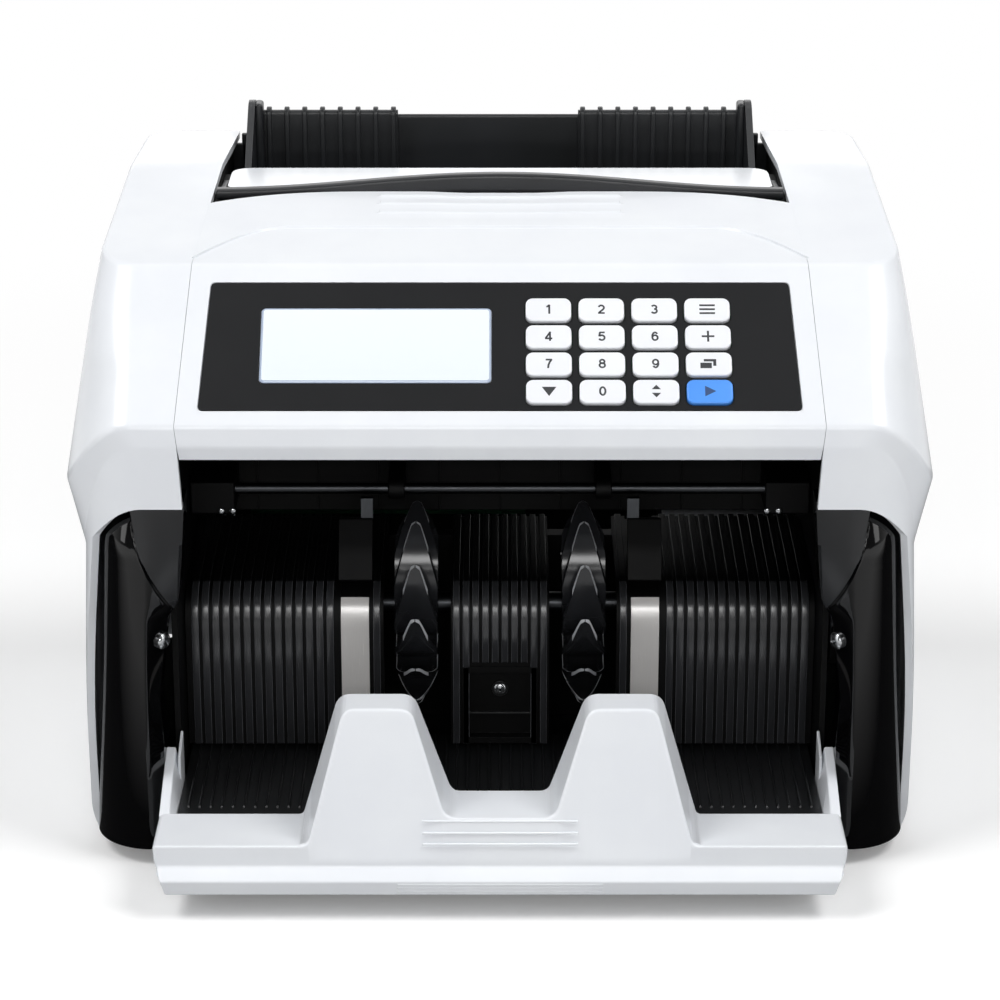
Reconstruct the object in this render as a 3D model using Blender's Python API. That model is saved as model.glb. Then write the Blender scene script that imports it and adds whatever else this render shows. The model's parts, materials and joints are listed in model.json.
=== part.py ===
"""Banknote counter: a front-stacking counter with a top hopper, modelled piece by piece.

Metres, +Z up, +X right, -Y front. The origin is on the ground under the middle of the bounding box.
A setback is a distance behind the front plane of the nose; back() turns it into a Y value.
"""
import math
from collections import namedtuple

import bmesh
import bpy
from mathutils import Matrix, Vector

# Overall sizes, walls and fits
BODY_DEPTH = 0.240
TRAY_REACH = 0.041
GAP = 0.0003
FIT = 0.0005
WALL = 0.0025
COVER_WALL = 0.003
STEEL = 0.002
OVERRUN = 0.002

# Nose, keyboard slope and deck of the front cover
NOSE_FOOT_Z = 0.148
NOSE_FOOT_BACK = 0.0015
NOSE_LIP_BACK = 0.014
NOSE_LOW_Z = 0.153
NOSE_HIGH_Z = 0.160
NOSE_HIGH_BACK = 0.0005
DECK_BACK = 0.0483
DECK_Z = 0.202
DECK_RISE_SHARE = 0.141
KNEE_BACK = 0.137
REAR_RISE_SHARE = -0.010
FRONT_COVER_REAR = 0.109
SCOOP_DEPTH = 0.003
SCOOP_HALF = 0.030
SCOOP_EASE = 0.009
PARTING_DECK_X = 0.1042
PARTING_NOSE_X = 0.1073
PARTING_FOOT_X = 0.1065
PARTING_EDGE_X = 0.1054
PARTING_REAR_X = 0.105
PARTING_TAIL_X = 0.0981
HEM_FLARE = 0.0022
HEM_EASE = 0.0006
HEM_FRONT_BACK = 0.018

# Side covers: half widths, heights and corner radii, level by level
HEM_Z = 0.006
EDGE_FRONT_BACK = 0.0007
EDGE_FRONT_Z = 0.131
EDGE_SIDE_Z = 0.112
EDGE_HALF = 0.1404
EDGE_CORNER = 0.021
FOLD_SIDE_Z = 0.1135
FOLD_HALF = 0.1408
FOLD_CORNER = 0.022
BELT_SIDE_Z = 0.135
BELT_HALF = 0.1462
BELT_REAR_HALF = 0.143
BELT_CORNER = 0.024
SLOPE_MID_SHARE = 0.595
SLOPE_SIDE_Z = 0.186
SLOPE_HALF = 0.139
SLOPE_REAR_HALF = 0.136
SLOPE_CORNER_X = 0.016
SLOPE_CORNER_Y = 0.020
SLOPE_REAR_INSET = 0.002
SHOULDER_HALF = 0.136
SHOULDER_REAR_HALF = 0.1325
SHOULDER_CORNER_X = 0.013
SHOULDER_CORNER_Y = 0.017
SHOULDER_REAR_INSET = 0.008
REAR_CORNER = 0.012
CORNER_ANGLES = (0.0, 20.0, 38.0, 57.0, 74.0, 90.0)
WALL_START = 3
REAR_STEPS = 2

# Keyboard panel, laid out along the slope
PANEL_TOP_HALF = 0.0971
PANEL_FOOT_HALF = 0.0996
PANEL_FOOT = 0.0063
PANEL_TOP = 0.0560
PANEL_THICK = 0.0005
PANEL_CORNER = 0.0016
PANEL_RECESS = 0.0008
LCD_LEFT = -0.0798
LCD_RIGHT = -0.0029
LCD_FOOT = 0.0168
LCD_TOP = 0.0458
LCD_THICK = 0.0008
LCD_LEDGE = 0.0015
MODULE_MARGIN = 0.003
MODULE_THICK = 0.007
KEY_WIDTH = 0.0153
KEY_HEIGHT = 0.0091
KEY_CORNER = 0.0026
KEY_FIRST_X = 0.0162
KEY_PITCH_X = 0.0177
KEY_TOP_ROW = 0.0448
KEY_PITCH_ROW = 0.0106
KEY_RISE = 0.0012
KEY_CHAMFER = 0.0004
KEY_TRAVEL = 0.001
KEY_FLANGE = 0.0005
KEY_FLANGE_THICK = 0.0006
KEY_FIT = 0.00035
KEY_BOARD_MARGIN = 0.002
KEY_WINDOW_MARGIN = 0.001
BOARD_THICK = 0.0016
KEY_NAMES = (
    ("key_1", "key_2", "key_3", "key_mode"),
    ("key_4", "key_5", "key_6", "key_add"),
    ("key_7", "key_8", "key_9", "key_batch"),
    ("key_down", "key_0", "key_value", "key_start"),
)

# Corner panels beside the pocket
PANEL_FRONT_BACK = 0.0012
PANEL_OUTER = 0.1350
PANEL_FOOT_OUTER = 0.1390
PANEL_BEND_X = 0.1195
PANEL_BEND_Y = 0.0208
PANEL_TAIL = 0.030
PANEL_WALL = 0.002
PANEL_CHAMFER_BACK = 0.010
PANEL_FLANK_BACK = 0.024
PANEL_INNER_TOP = 0.1059
PANEL_INNER_MID = 0.1085
PANEL_INNER_LOW = 0.1113
PANEL_MID_Z = 0.097
PANEL_LOW_Z = 0.0425
PANEL_STEP = 0.0008
PANEL_TAIL_Z = 0.110

# Stacker tray and its ribbed floor
TRAY_HALF = 0.1155
TRAY_SIDE_WALL = 0.0055
TRAY_FOOT_Z = 0.0083
TRAY_LIP_Z = 0.026
TRAY_LIP_BACK = -0.0117
TRAY_FACE_BACK = -0.037
TRAY_CREASE_Z = 0.0184
TRAY_BELLY_Z = 0.0147
TRAY_CHIN_BACK = -0.038
TRAY_WALL_Z = 0.040
TRAY_WALL_BACK = 0.024
TRAY_SHELL = 0.003
TOWER_TOP_Z = 0.0702
TOWER_TOP_IN = 0.029
TOWER_TOP_OUT = 0.054
TOWER_FOOT_IN = 0.0156
TOWER_FOOT_OUT = 0.0653
TOWER_TOP_BACK = -0.0248
VALLEY_Z = 0.0346
FLOOR_Z = 0.024
FLOOR_THICK = 0.0025
FLOOR_REAR = 0.058
FLOOR_LEG = 0.0025
FLOOR_LEG_INSET = 0.0057
RIB_RISE = 0.0008
RIB_PITCH = 0.0038
RIB_WIDTH = 0.0009

# Guides behind the pocket
GUIDE_BACK = 0.0478
GUIDE_SHOULDER_Z = 0.0724
GUIDE_TOP_BACK = 0.0586
GUIDE_TOP_Z = 0.0834
GUIDE_REAR_BACK = 0.118
GUIDE_REAR_Z = 0.0855
GUIDE_OUT = 0.1106
GUIDE_IN = 0.041
GUIDE_STRIP_IN = 0.0457
GUIDE_STRIP_OUT = 0.0563
GUIDE_RIB_PITCH = 0.00365
GUIDE_RIB_WIDTH = 0.0017
GUIDE_STRIP_SINK = 0.0013
CENTRE_HALF = 0.0174
CENTRE_RIB_PITCH = 0.0033
CENTRE_BOX_HALF = 0.0135
CENTRE_BOX_DEEP = 0.0055
CENTRE_POCKET_HALF = 0.011
CENTRE_POCKET_DEEP = 0.003
CENTRE_POCKET_LOW = 0.0278
CENTRE_POCKET_HIGH = 0.0524
STRIP_IN = 0.046
STRIP_OUT = 0.056
STRIP_THICK = 0.0009
BRACKET_TOP_BACK = 0.0695
BRACKET_TOP_Z = 0.1035
BRACKET_THICK = 0.002
BRACKET_LEAN = 0.0022

# Wall above the pocket with the round guide shaft
UPPER_CEILING_Z = 0.1465
UPPER_WALL_BACK = 0.1015
UPPER_FRONT_BACK = 0.016
UPPER_FOOT_Z = 0.0938
GUIDE_SHAFT_RADIUS = 0.002
GUIDE_SHAFT_BACK = 0.083
GUIDE_SHAFT_Z = 0.109
GUIDE_SHAFT_HALF = 0.097
HANGER_IN = 0.034
HANGER_OUT = 0.040
HANGER_RADIUS = 0.0038
END_BLOCK_IN = 0.0945
END_BLOCK_FRONT = 0.0785
END_BLOCK_LOW = 0.1005

# Frame plates, cross beam and base
PLATE_IN = 0.111
PLATE_FRONT_BACK = 0.0255
PLATE_REAR_BACK = 0.190
PLATE_NECK_Z = 0.168
PLATE_SHOULDER_BACK = 0.052
PLATE_SHOULDER_Z = 0.190
PLATE_TOP_BACK = 0.112
PLATE_TOP_Z = 0.197
BULKHEAD_BACK = 0.1115
BULKHEAD_FLANGE = 0.0065
PAN_Z = 0.006
PAN_FRONT_BACK = -0.034
PAN_WIDE_BACK = 0.031
PAN_HALF = 0.1375
PAN_FLANGE = 0.012
FOOT_RADIUS = 0.009
FOOT_FRONT_X = 0.100
FOOT_FRONT_BACK = -0.008
FOOT_REAR_X = 0.118
FOOT_REAR_BACK = 0.175

# Turning parts
SHAFT_RADIUS = 0.004
SHAFT_END_LEFT = 0.117
BUSH_RADIUS = 0.008
BUSH_PROUD = 0.001
PULLEY_IN = 0.1165
PULLEY_OUT = 0.1225
PULLEY_STUB = 0.124
BELT_THICK = 0.0012
BELT_MARGIN = 0.0006
IMPELLER_BACK = 0.073
IMPELLER_Z = 0.069
IMPELLER_RADIUS = 0.037
IMPELLER_HUB = 0.013
IMPELLER_X = 0.0296
IMPELLER_HALF = 0.00765
IMPELLER_TIP_HALF = 0.0016
IMPELLER_FINS = 12
IMPELLER_SWEEP = 62.0
IMPELLER_PHASE = 18.0
IMPELLER_PULLEY = 0.020
DRUM_BACK = 0.140
DRUM_Z = 0.150
DRUM_RADIUS = 0.015
DRUM_PULLEY = 0.008
FEED_RADIUS = 0.013
FEED_PULLEY = 0.008
FEED_PROUD = 0.001
ROLLER_IN = 0.022
ROLLER_OUT = 0.036
MOTOR_BACK = 0.150
MOTOR_Z = 0.060
MOTOR_RADIUS = 0.022
MOTOR_LENGTH = 0.050
MOTOR_BOSS = 0.0055
MOTOR_SHAFT = 0.0025
MOTOR_PULLEY = 0.006
ROUND_STEPS = 16

# Hopper
LIP_HALF = 0.0958
LIP_FRONT_BACK = 0.1155
LIP_REAR_BACK = 0.146
LIP_TOP_Z = 0.211
LIP_ROUND = 0.010
FRAME_CHEEK_IN = 0.1002
FRAME_CHEEK_OUT = 0.1022
FRAME_FRONT_BACK = 0.1105
FRAME_WELL_Z = 0.200
FRAME_RISER_BACK = 0.1185
FRAME_WALL_LOW_Z = 0.182
FRAME_FOOT_Z = 0.192
FRAME_FOOT_FRONT = 0.122
FRAME_FOOT_REAR = 0.180
BED_FRONT_BACK = 0.150
BED_FRONT_Z = 0.168
BED_REAR_BACK = 0.182
BED_REAR_Z = 0.184
BED_SLOT_FRONT = 0.156
BED_SLOT_MARGIN = 0.0015
BACK_PLATE_BACK = 0.188
BACK_PLATE_HALF = 0.0905
BACK_PLATE_LOW_Z = 0.1835
BACK_PLATE_TOP_Z = 0.2206
WING_HEIGHT = 0.005
BACK_SHOULDER_HALF = 0.0975
BACK_SHOULDER_Z = 0.2132
BACK_SKIRT_HALF = 0.1042
BACK_SKIRT_Z = 0.2095
GUIDE_PLATE_TOP_Z = 0.2229
GUIDE_PLATE_FRONT = 0.1848
GUIDE_PLATE_LOW_Z = 0.1775
HOPPER_LEFT_IN = 0.0383
HOPPER_RIGHT_IN = 0.0292
HOPPER_RIB_PITCH = 0.0066
HOPPER_RIB_WIDTH = 0.0018
HOPPER_RIB_RISE = 0.0012
EAR_IN = 0.0889
EAR_TOP_OUT = 0.0936
EAR_FOOT_OUT = 0.0985
EAR_REAR_OUT = 0.0955
EAR_TOP_Z = 0.2273
EAR_CREST = 0.0055
EAR_CREST_DROP = 0.0028
EAR_FRONT_BACK = 0.151
EAR_FRONT_Z = 0.207
EAR_FLOOR_CLEAR = 0.0006

# Carry handle
PIVOT_BACK = 0.132
PIVOT_Z = 0.2062
PIVOT_RADIUS = 0.002
ARM_IN = 0.0963
ARM_OUT = 0.0998
ARM_EYE = 0.0034
BAR_HALF = 0.1006
BAR_FRONT_BACK = 0.1095
BAR_DEEP = 0.005
BAR_LOW_Z = 0.208
BAR_THICK = 0.0035
BAR_ARCH = 0.004
BAR_STEPS = 10

# Rear cover, inlet, switch, boards
REAR_COVER_BACK = 0.197
REAR_COVER_TOP_Z = 0.192
REAR_COVER_LIP_BACK = 0.193
REAR_COVER_LIP_Z = 0.1965
VENT_COUNT = 9
VENT_PITCH = 0.008
VENT_WIDTH = 0.003
VENT_LOW_Z = 0.085
VENT_HIGH_Z = 0.125
VENT_X = 0.040
INLET_X = -0.071
INLET_Z = 0.040
INLET_HALF_X = 0.0135
INLET_HALF_Z = 0.0098
INLET_DEEP = 0.019
INLET_CAVITY_X = 0.0112
INLET_CAVITY_Z = 0.0075
INLET_CAVITY_DEEP = 0.015
INLET_FLANGE = 0.0022
INLET_PIN_X = 0.007
INLET_PIN_HALF_X = 0.001
INLET_PIN_HALF_Z = 0.002
INLET_EARTH_RISE = 0.002
ROCKER_X = -0.040
ROCKER_HALF_X = 0.0065
ROCKER_HALF_Z = 0.0088
ROCKER_ROUND = 0.0093
ROCKER_PIVOT_BACK = 0.192
ROCKER_CORNER = 0.0052
ROCKER_NOTCH = 0.0030
ROCKER_HEEL = 0.0030
ROCKER_TILT = 8.0
ROCKER_CLEAR = 0.0006
PSU_LEFT = -0.105
PSU_RIGHT = -0.025
PSU_FRONT_BACK = 0.117
PSU_REAR_BACK = 0.176
PSU_BOARD_Z = 0.013
PSU_COIL_HEIGHT = 0.028
PSU_COIL = 0.026
PSU_SINK_HEIGHT = 0.034
PSU_SINK_THICK = 0.004
PSU_INSET = 0.006
MAIN_LEFT = -0.098
MAIN_RIGHT = 0.010
MAIN_LOW_Z = 0.060
MAIN_HIGH_Z = 0.150
MAIN_BACK = 0.1895
MAIN_POST = 0.003
MAIN_CHIP = 0.016
MAIN_CHIP_THICK = 0.0025

FRONT_PLANE_Y = TRAY_REACH - BODY_DEPTH / 2
QUARTER = math.pi / 2
SLOPE = math.atan2(DECK_Z - NOSE_HIGH_Z, DECK_BACK - NOSE_HIGH_BACK)
BED_SLOPE = math.atan2(BED_REAR_Z - BED_FRONT_Z, BED_REAR_BACK - BED_FRONT_BACK)
CUT = OVERRUN


def back(setback):
    """Y value of a point that lies setback behind the nose."""
    return FRONT_PLANE_Y + setback


def blend(start, end, share):
    return start + (end - start) * share


def deck_height(setback):
    """Height of the top surface, two planes that meet at the knee."""
    rise = DECK_Z + (min(setback, KNEE_BACK) - DECK_BACK) * DECK_RISE_SHARE
    return rise + max(setback - KNEE_BACK, 0.0) * REAR_RISE_SHARE


def deck_parting(setback):
    """Half width between the side covers on the deck; it narrows towards the rear."""
    tail_back = BODY_DEPTH - TRAY_REACH - SHOULDER_REAR_INSET
    share = (setback - DECK_BACK) / (tail_back - DECK_BACK)
    return blend(PARTING_DECK_X, PARTING_TAIL_X, share)


def make_material(name, colour, roughness, metallic=0.0):
    material = bpy.data.materials.new(name)
    material.use_nodes = True
    shader = material.node_tree.nodes["Principled BSDF"]
    shader.inputs["Base Color"].default_value = (*colour, 1.0)
    shader.inputs["Roughness"].default_value = roughness
    shader.inputs["Metallic"].default_value = metallic
    return material


def make_materials():
    return {
        "white": make_material("white_abs", (0.88, 0.90, 0.92), 0.22),
        "black": make_material("black_abs", (0.012, 0.012, 0.013), 0.35),
        "gloss": make_material("black_gloss_abs", (0.006, 0.006, 0.007), 0.06),
        "film": make_material("panel_film", (0.022, 0.023, 0.025), 0.45),
        "key": make_material("key_white", (0.86, 0.88, 0.90), 0.30),
        "blue": make_material("key_blue", (0.10, 0.36, 0.93), 0.30),
        "lens": make_material("display_lens", (0.86, 0.93, 0.98), 0.12),
        "steel": make_material("bright_steel", (0.72, 0.71, 0.69), 0.28, 1.0),
        "plate": make_material("black_steel", (0.02, 0.02, 0.021), 0.40, 0.6),
        "rubber": make_material("rubber", (0.025, 0.025, 0.026), 0.85),
        "board": make_material("circuit_board", (0.02, 0.16, 0.07), 0.45),
        "grey": make_material("handle_grey", (0.045, 0.047, 0.050), 0.32),
    }


def place(name, shape, material, smooth=False):
    """Turn a bmesh into a named object with outward faces."""
    bmesh.ops.remove_doubles(shape, verts=shape.verts, dist=GAP / 30)
    bmesh.ops.recalc_face_normals(shape, faces=shape.faces)
    mesh = bpy.data.meshes.new(name)
    shape.to_mesh(mesh)
    shape.free()
    thing = bpy.data.objects.new(name, mesh)
    bpy.context.collection.objects.link(thing)
    mesh.materials.append(material)
    if smooth:
        mesh.shade_smooth()
        mesh.set_sharp_from_angle(angle=math.radians(35))
    return thing


def loft(rings, closed_ends=True, looped=False):
    """Faces between rings of points; the rings run round the shape."""
    shape = bmesh.new()
    made = [[shape.verts.new(point) for point in ring] for ring in rings]
    pairs = list(zip(made, made[1:]))
    if looped:
        pairs.append((made[-1], made[0]))
    for one, two in pairs:
        for index in range(len(one)):
            after = (index + 1) % len(one)
            shape.faces.new((one[index], one[after], two[after], two[index]))
    if closed_ends and not looped:
        shape.faces.new(made[0])
        shape.faces.new(made[-1])
    return shape


def prism(name, outline, axis, low, high, material):
    """Outline extruded along an axis; outline points are in the other two axes, in order."""
    def point(first, second, third):
        if axis == "X":
            return (third, back(first), second)
        if axis == "Y":
            return (first, back(third), second)
        return (first, back(second), third)
    rings = [[point(first, second, level) for first, second in outline] for level in (low, high)]
    return place(name, loft(rings), material)


def box(name, low, high, material):
    """Block between two corners given as X, setback, Z."""
    outline = [(low[0], low[2]), (high[0], low[2]), (high[0], high[2]), (low[0], high[2])]
    return prism(name, outline, "Y", low[1], high[1], material)


def circle(radius, steps=ROUND_STEPS, start=0.0, end=math.tau):
    span = end - start
    count = steps if abs(span - math.tau) < 1e-6 else steps + 1
    turns = [start + span * step / steps for step in range(count)]
    return [(radius * math.cos(turn), radius * math.sin(turn)) for turn in turns]


def turned(name, profile, setback, height, material, hollow=False, steps=ROUND_STEPS):
    """Solid of revolution about a line along X; profile holds X and radius."""
    rings = [[(x, back(setback) + along, height + up) for along, up in circle(radius, steps)]
             for x, radius in profile]
    return place(name, loft(rings, looped=hollow), material, smooth=True)


def bore(name, setback, height, radius, low, high, steps=ROUND_STEPS):
    """Cutter along X."""
    return turned(name, [(low, radius), (high, radius)], setback, height, None, steps=steps)


def bake(thing):
    """Apply what the modifiers do and clear them."""
    graph = bpy.context.evaluated_depsgraph_get()
    mesh = bpy.data.meshes.new_from_object(thing.evaluated_get(graph))
    thing.modifiers.clear()
    thing.data = mesh
    return thing


def combine(thing, others, operation):
    for other in others:
        step = thing.modifiers.new(operation, "BOOLEAN")
        step.operation = operation
        step.solver = "EXACT"
        step.object = other
    bake(thing)
    for other in others:
        bpy.data.objects.remove(other)
    return thing


def carve(thing, cutters):
    return combine(thing, cutters, "DIFFERENCE")


def fuse(thing, others):
    return combine(thing, others, "UNION")


def thicken(thing, thickness, inside):
    """Give an open surface a wall on the side of the inner point."""
    mesh = thing.data
    shape = bmesh.new()
    shape.from_mesh(mesh)
    shape.faces.ensure_lookup_table()
    face = max(shape.faces, key=lambda item: item.calc_area())
    if face.normal.dot(Vector(inside) - face.calc_center_median()) > 0:
        bmesh.ops.reverse_faces(shape, faces=shape.faces)
    shape.to_mesh(mesh)
    shape.free()
    wall = thing.modifiers.new("wall", "SOLIDIFY")
    wall.thickness = thickness
    wall.offset = -1.0
    wall.use_even_offset = True
    wall.use_rim = True
    return bake(thing)


def set_pivot(thing, setback, height, x=0.0):
    """Move the object's origin to its joint without moving the shape."""
    spot = Vector((x, back(setback), height))
    thing.data.transform(Matrix.Translation(-spot))
    thing.location = spot
    return thing


def on_slope(thing):
    """Lay a piece that was built flat onto the keyboard slope."""
    thing.location = (0.0, back(NOSE_HIGH_BACK), NOSE_HIGH_Z)
    thing.rotation_euler = (SLOPE, 0.0, 0.0)
    return thing


def rounded_outline(left, low, right, high, radius, steps=2):
    """Rectangle with round corners, anticlockwise."""
    corners = ((right - radius, high - radius, 0), (left + radius, high - radius, 1),
               (left + radius, low + radius, 2), (right - radius, low + radius, 3))
    points = []
    for centre_x, centre_y, turn in corners:
        for along, up in circle(radius, steps, QUARTER * turn, QUARTER * (turn + 1)):
            points.append((centre_x + along, centre_y + up))
    return points


def flat_prism(name, outline, low, high, material):
    """Outline in X and slope distance, extruded along the slope's normal."""
    rings = [[(x, along, level) for x, along in outline] for level in (low, high)]
    return place(name, loft(rings), material)


Level = namedtuple("Level", "front rear parting half rear_half corner_x corner_y front_z side_z droop")


def cover_levels():
    """Rows of a side cover from its lower edge up to the crease under the shoulder."""
    rear = BODY_DEPTH - TRAY_REACH
    mid_back = blend(NOSE_HIGH_BACK, DECK_BACK, SLOPE_MID_SHARE)
    mid_z = blend(NOSE_HIGH_Z, DECK_Z, SLOPE_MID_SHARE)
    mid_parting = blend(PARTING_NOSE_X, PARTING_DECK_X, SLOPE_MID_SHARE)
    return [
        Level(EDGE_FRONT_BACK, rear, PARTING_EDGE_X, EDGE_HALF, EDGE_HALF,
              EDGE_CORNER, EDGE_CORNER, EDGE_FRONT_Z, EDGE_SIDE_Z, 1.2),
        Level(0.0, rear, PARTING_FOOT_X, FOLD_HALF, FOLD_HALF,
              FOLD_CORNER, FOLD_CORNER, NOSE_LOW_Z, FOLD_SIDE_Z, 3.0),
        Level(NOSE_HIGH_BACK, rear, PARTING_NOSE_X, BELT_HALF, BELT_REAR_HALF,
              BELT_CORNER, BELT_CORNER, NOSE_HIGH_Z, BELT_SIDE_Z, 2.0),
        Level(mid_back, rear - SLOPE_REAR_INSET, mid_parting, SLOPE_HALF, SLOPE_REAR_HALF,
              SLOPE_CORNER_X, SLOPE_CORNER_Y, mid_z, SLOPE_SIDE_Z, 2.0),
        Level(DECK_BACK, rear - SHOULDER_REAR_INSET, PARTING_DECK_X, SHOULDER_HALF, SHOULDER_REAR_HALF,
              SHOULDER_CORNER_X, SHOULDER_CORNER_Y, DECK_Z, DECK_Z, 2.0),
    ]


def cover_row(level):
    """Points of one level, from the front parting round the corner to the rear parting."""
    points = [(level.parting, level.front, level.front_z)]
    for turn in CORNER_ANGLES:
        angle = math.radians(turn)
        x = level.half - level.corner_x * (1 - math.sin(angle))
        setback = level.front + level.corner_y * (1 - math.cos(angle))
        points.append((x, setback, blend(level.front_z, level.side_z, math.sin(angle) ** level.droop)))
    side_start = level.front + level.corner_y
    side_end = level.rear - REAR_CORNER
    knee_share = (KNEE_BACK - side_start) / (side_end - side_start)
    points.append((blend(level.half, level.rear_half, knee_share), KNEE_BACK, level.side_z))
    for step in range(REAR_STEPS + 1):
        angle = QUARTER * step / REAR_STEPS
        x = level.rear_half - REAR_CORNER * (1 - math.cos(angle))
        points.append((x, side_end + REAR_CORNER * math.sin(angle), level.side_z))
    points.append((PARTING_REAR_X, level.rear, level.side_z))
    return points


def hem_row(edge):
    """Foot of the side wall; its front edge leans back and its side flares out."""
    points = []
    eased = len(CORNER_ANGLES) - 1 - WALL_START
    corner_end = EDGE_FRONT_BACK + EDGE_CORNER
    for step in range(eased + 1):
        share = step / eased
        x = EDGE_HALF + HEM_FLARE - HEM_EASE * (1 - share) ** 2
        points.append((x, blend(HEM_FRONT_BACK, corner_end, share), HEM_Z))
    for x, setback, z in edge[1 + len(CORNER_ANGLES):-1]:
        points.append((x + HEM_FLARE, setback, HEM_Z))
    points.append((edge[-1][0], edge[-1][1], HEM_Z))
    return points


def make_side_cover(name, side, material):
    """Shell with a nose, a cheek that rounds the corner, a side wall and a deck."""
    rows = [cover_row(level) for level in cover_levels()]
    rows[-1] = [(x, setback, deck_height(setback)) for x, setback, z in rows[-1]]
    shape = bmesh.new()

    def vertex(point):
        return shape.verts.new((side * point[0], back(point[1]), point[2]))
    made = [[vertex(point) for point in row] for row in rows]
    edge = made[0][1 + WALL_START:]
    hem = [vertex(point) for point in hem_row(rows[0])]
    for index in range(len(hem) - 1):
        shape.faces.new((hem[index], hem[index + 1], edge[index + 1], edge[index]))
    for one, two in zip(made, made[1:]):
        for index in range(len(one) - 1):
            shape.faces.new((one[index], one[index + 1], two[index + 1], two[index]))
    shoulder = made[-1]
    knee = len(CORNER_ANGLES) + 1
    tail_back = rows[-1][-1][1]
    knee_inner = vertex((deck_parting(KNEE_BACK), KNEE_BACK, deck_height(KNEE_BACK)))
    tail = vertex((PARTING_TAIL_X, tail_back, deck_height(tail_back)))
    shape.faces.new(shoulder[:knee + 1] + [knee_inner])
    shape.faces.new(shoulder[knee:] + [tail, knee_inner])
    cover = place(name, shape, material)
    middle = (side * PARTING_REAR_X, back(KNEE_BACK / 2), NOSE_LOW_Z)
    return thicken(cover, COVER_WALL, middle)


def front_cover_columns(parting, rear, scoop):
    """X and setback across the cover, with the finger scoop in its rear edge."""
    outer = parting - GAP / 2
    eased = SCOOP_HALF + SCOOP_EASE
    places = [(-outer, rear), (-eased, rear), (-SCOOP_HALF, rear - scoop)]
    return places + [(-x, setback) for x, setback in reversed(places)]


def make_front_cover(material):
    """Nose, keyboard slope and deck in one moulding, with windows for keys and display."""
    foot_share = (NOSE_FOOT_Z - EDGE_FRONT_Z) / (NOSE_LOW_Z - EDGE_FRONT_Z)
    foot_x = blend(PARTING_EDGE_X, PARTING_FOOT_X, foot_share) - GAP
    profile = [
        (NOSE_LIP_BACK, NOSE_FOOT_Z + GAP, foot_x, 0.0),
        (NOSE_FOOT_BACK, NOSE_FOOT_Z, foot_x, 0.0),
        (0.0, NOSE_LOW_Z, PARTING_FOOT_X, 0.0),
        (NOSE_HIGH_BACK, NOSE_HIGH_Z, PARTING_NOSE_X, 0.0),
        (DECK_BACK, DECK_Z, PARTING_DECK_X, 0.0),
        (FRONT_COVER_REAR, None, deck_parting(FRONT_COVER_REAR), SCOOP_DEPTH),
    ]
    shape = bmesh.new()
    rows = []
    for setback, z, parting, scoop in profile:
        columns = front_cover_columns(parting, setback, scoop)
        rows.append([shape.verts.new((x, back(spot), deck_height(spot) if z is None else z))
                     for x, spot in columns])
    for one, two in zip(rows, rows[1:]):
        for index in range(len(one) - 1):
            shape.faces.new((one[index], one[index + 1], two[index + 1], two[index]))
    cover = place("front_cover", shape, material)
    thicken(cover, WALL, (0.0, back(DECK_BACK), NOSE_HIGH_Z))
    recess = flat_prism("cut_recess", panel_outline(GAP), -PANEL_RECESS, CUT, None)
    lcd = rounded_outline(LCD_LEFT + LCD_LEDGE, LCD_FOOT + LCD_LEDGE, LCD_RIGHT - LCD_LEDGE,
                          LCD_TOP - LCD_LEDGE, PANEL_CORNER)
    window = flat_prism("cut_lcd", lcd, -WALL - CUT, CUT, None)
    left, low, right, high = key_field(KEY_WINDOW_MARGIN)
    keys = flat_prism("cut_keys", rounded_outline(left, low, right, high, PANEL_CORNER),
                      -WALL - CUT, CUT, None)
    for cutter in (recess, window, keys):
        on_slope(cutter)
    return carve(cover, [recess, window, keys])


def panel_outline(grow=0.0):
    """The keyboard panel narrows a little towards its top; its corners are clipped round."""
    top = PANEL_TOP_HALF + grow
    foot = PANEL_FOOT_HALF + grow
    low = PANEL_FOOT - grow
    high = PANEL_TOP + grow
    clip = PANEL_CORNER
    right = [(foot - clip, low), (foot, low + clip), (top, high - clip), (top - clip, high)]
    return right + [(-x, along) for x, along in reversed(right)]


def key_spot(row, column):
    return (KEY_FIRST_X + KEY_PITCH_X * column, KEY_TOP_ROW - KEY_PITCH_ROW * row)


def key_field(margin):
    """Rectangle round all key flanges."""
    first = key_spot(0, 0)
    last = key_spot(len(KEY_NAMES) - 1, len(KEY_NAMES[0]) - 1)
    reach_x = KEY_WIDTH / 2 + KEY_FLANGE + margin
    reach_y = KEY_HEIGHT / 2 + KEY_FLANGE + margin
    return first[0] - reach_x, last[1] - reach_y, last[0] + reach_x, first[1] + reach_y


def key_outline(row, column, grow, radius):
    x, along = key_spot(row, column)
    half_x = KEY_WIDTH / 2 + grow
    half_y = KEY_HEIGHT / 2 + grow
    return rounded_outline(x - half_x, along - half_y, x + half_x, along + half_y, radius)


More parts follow.
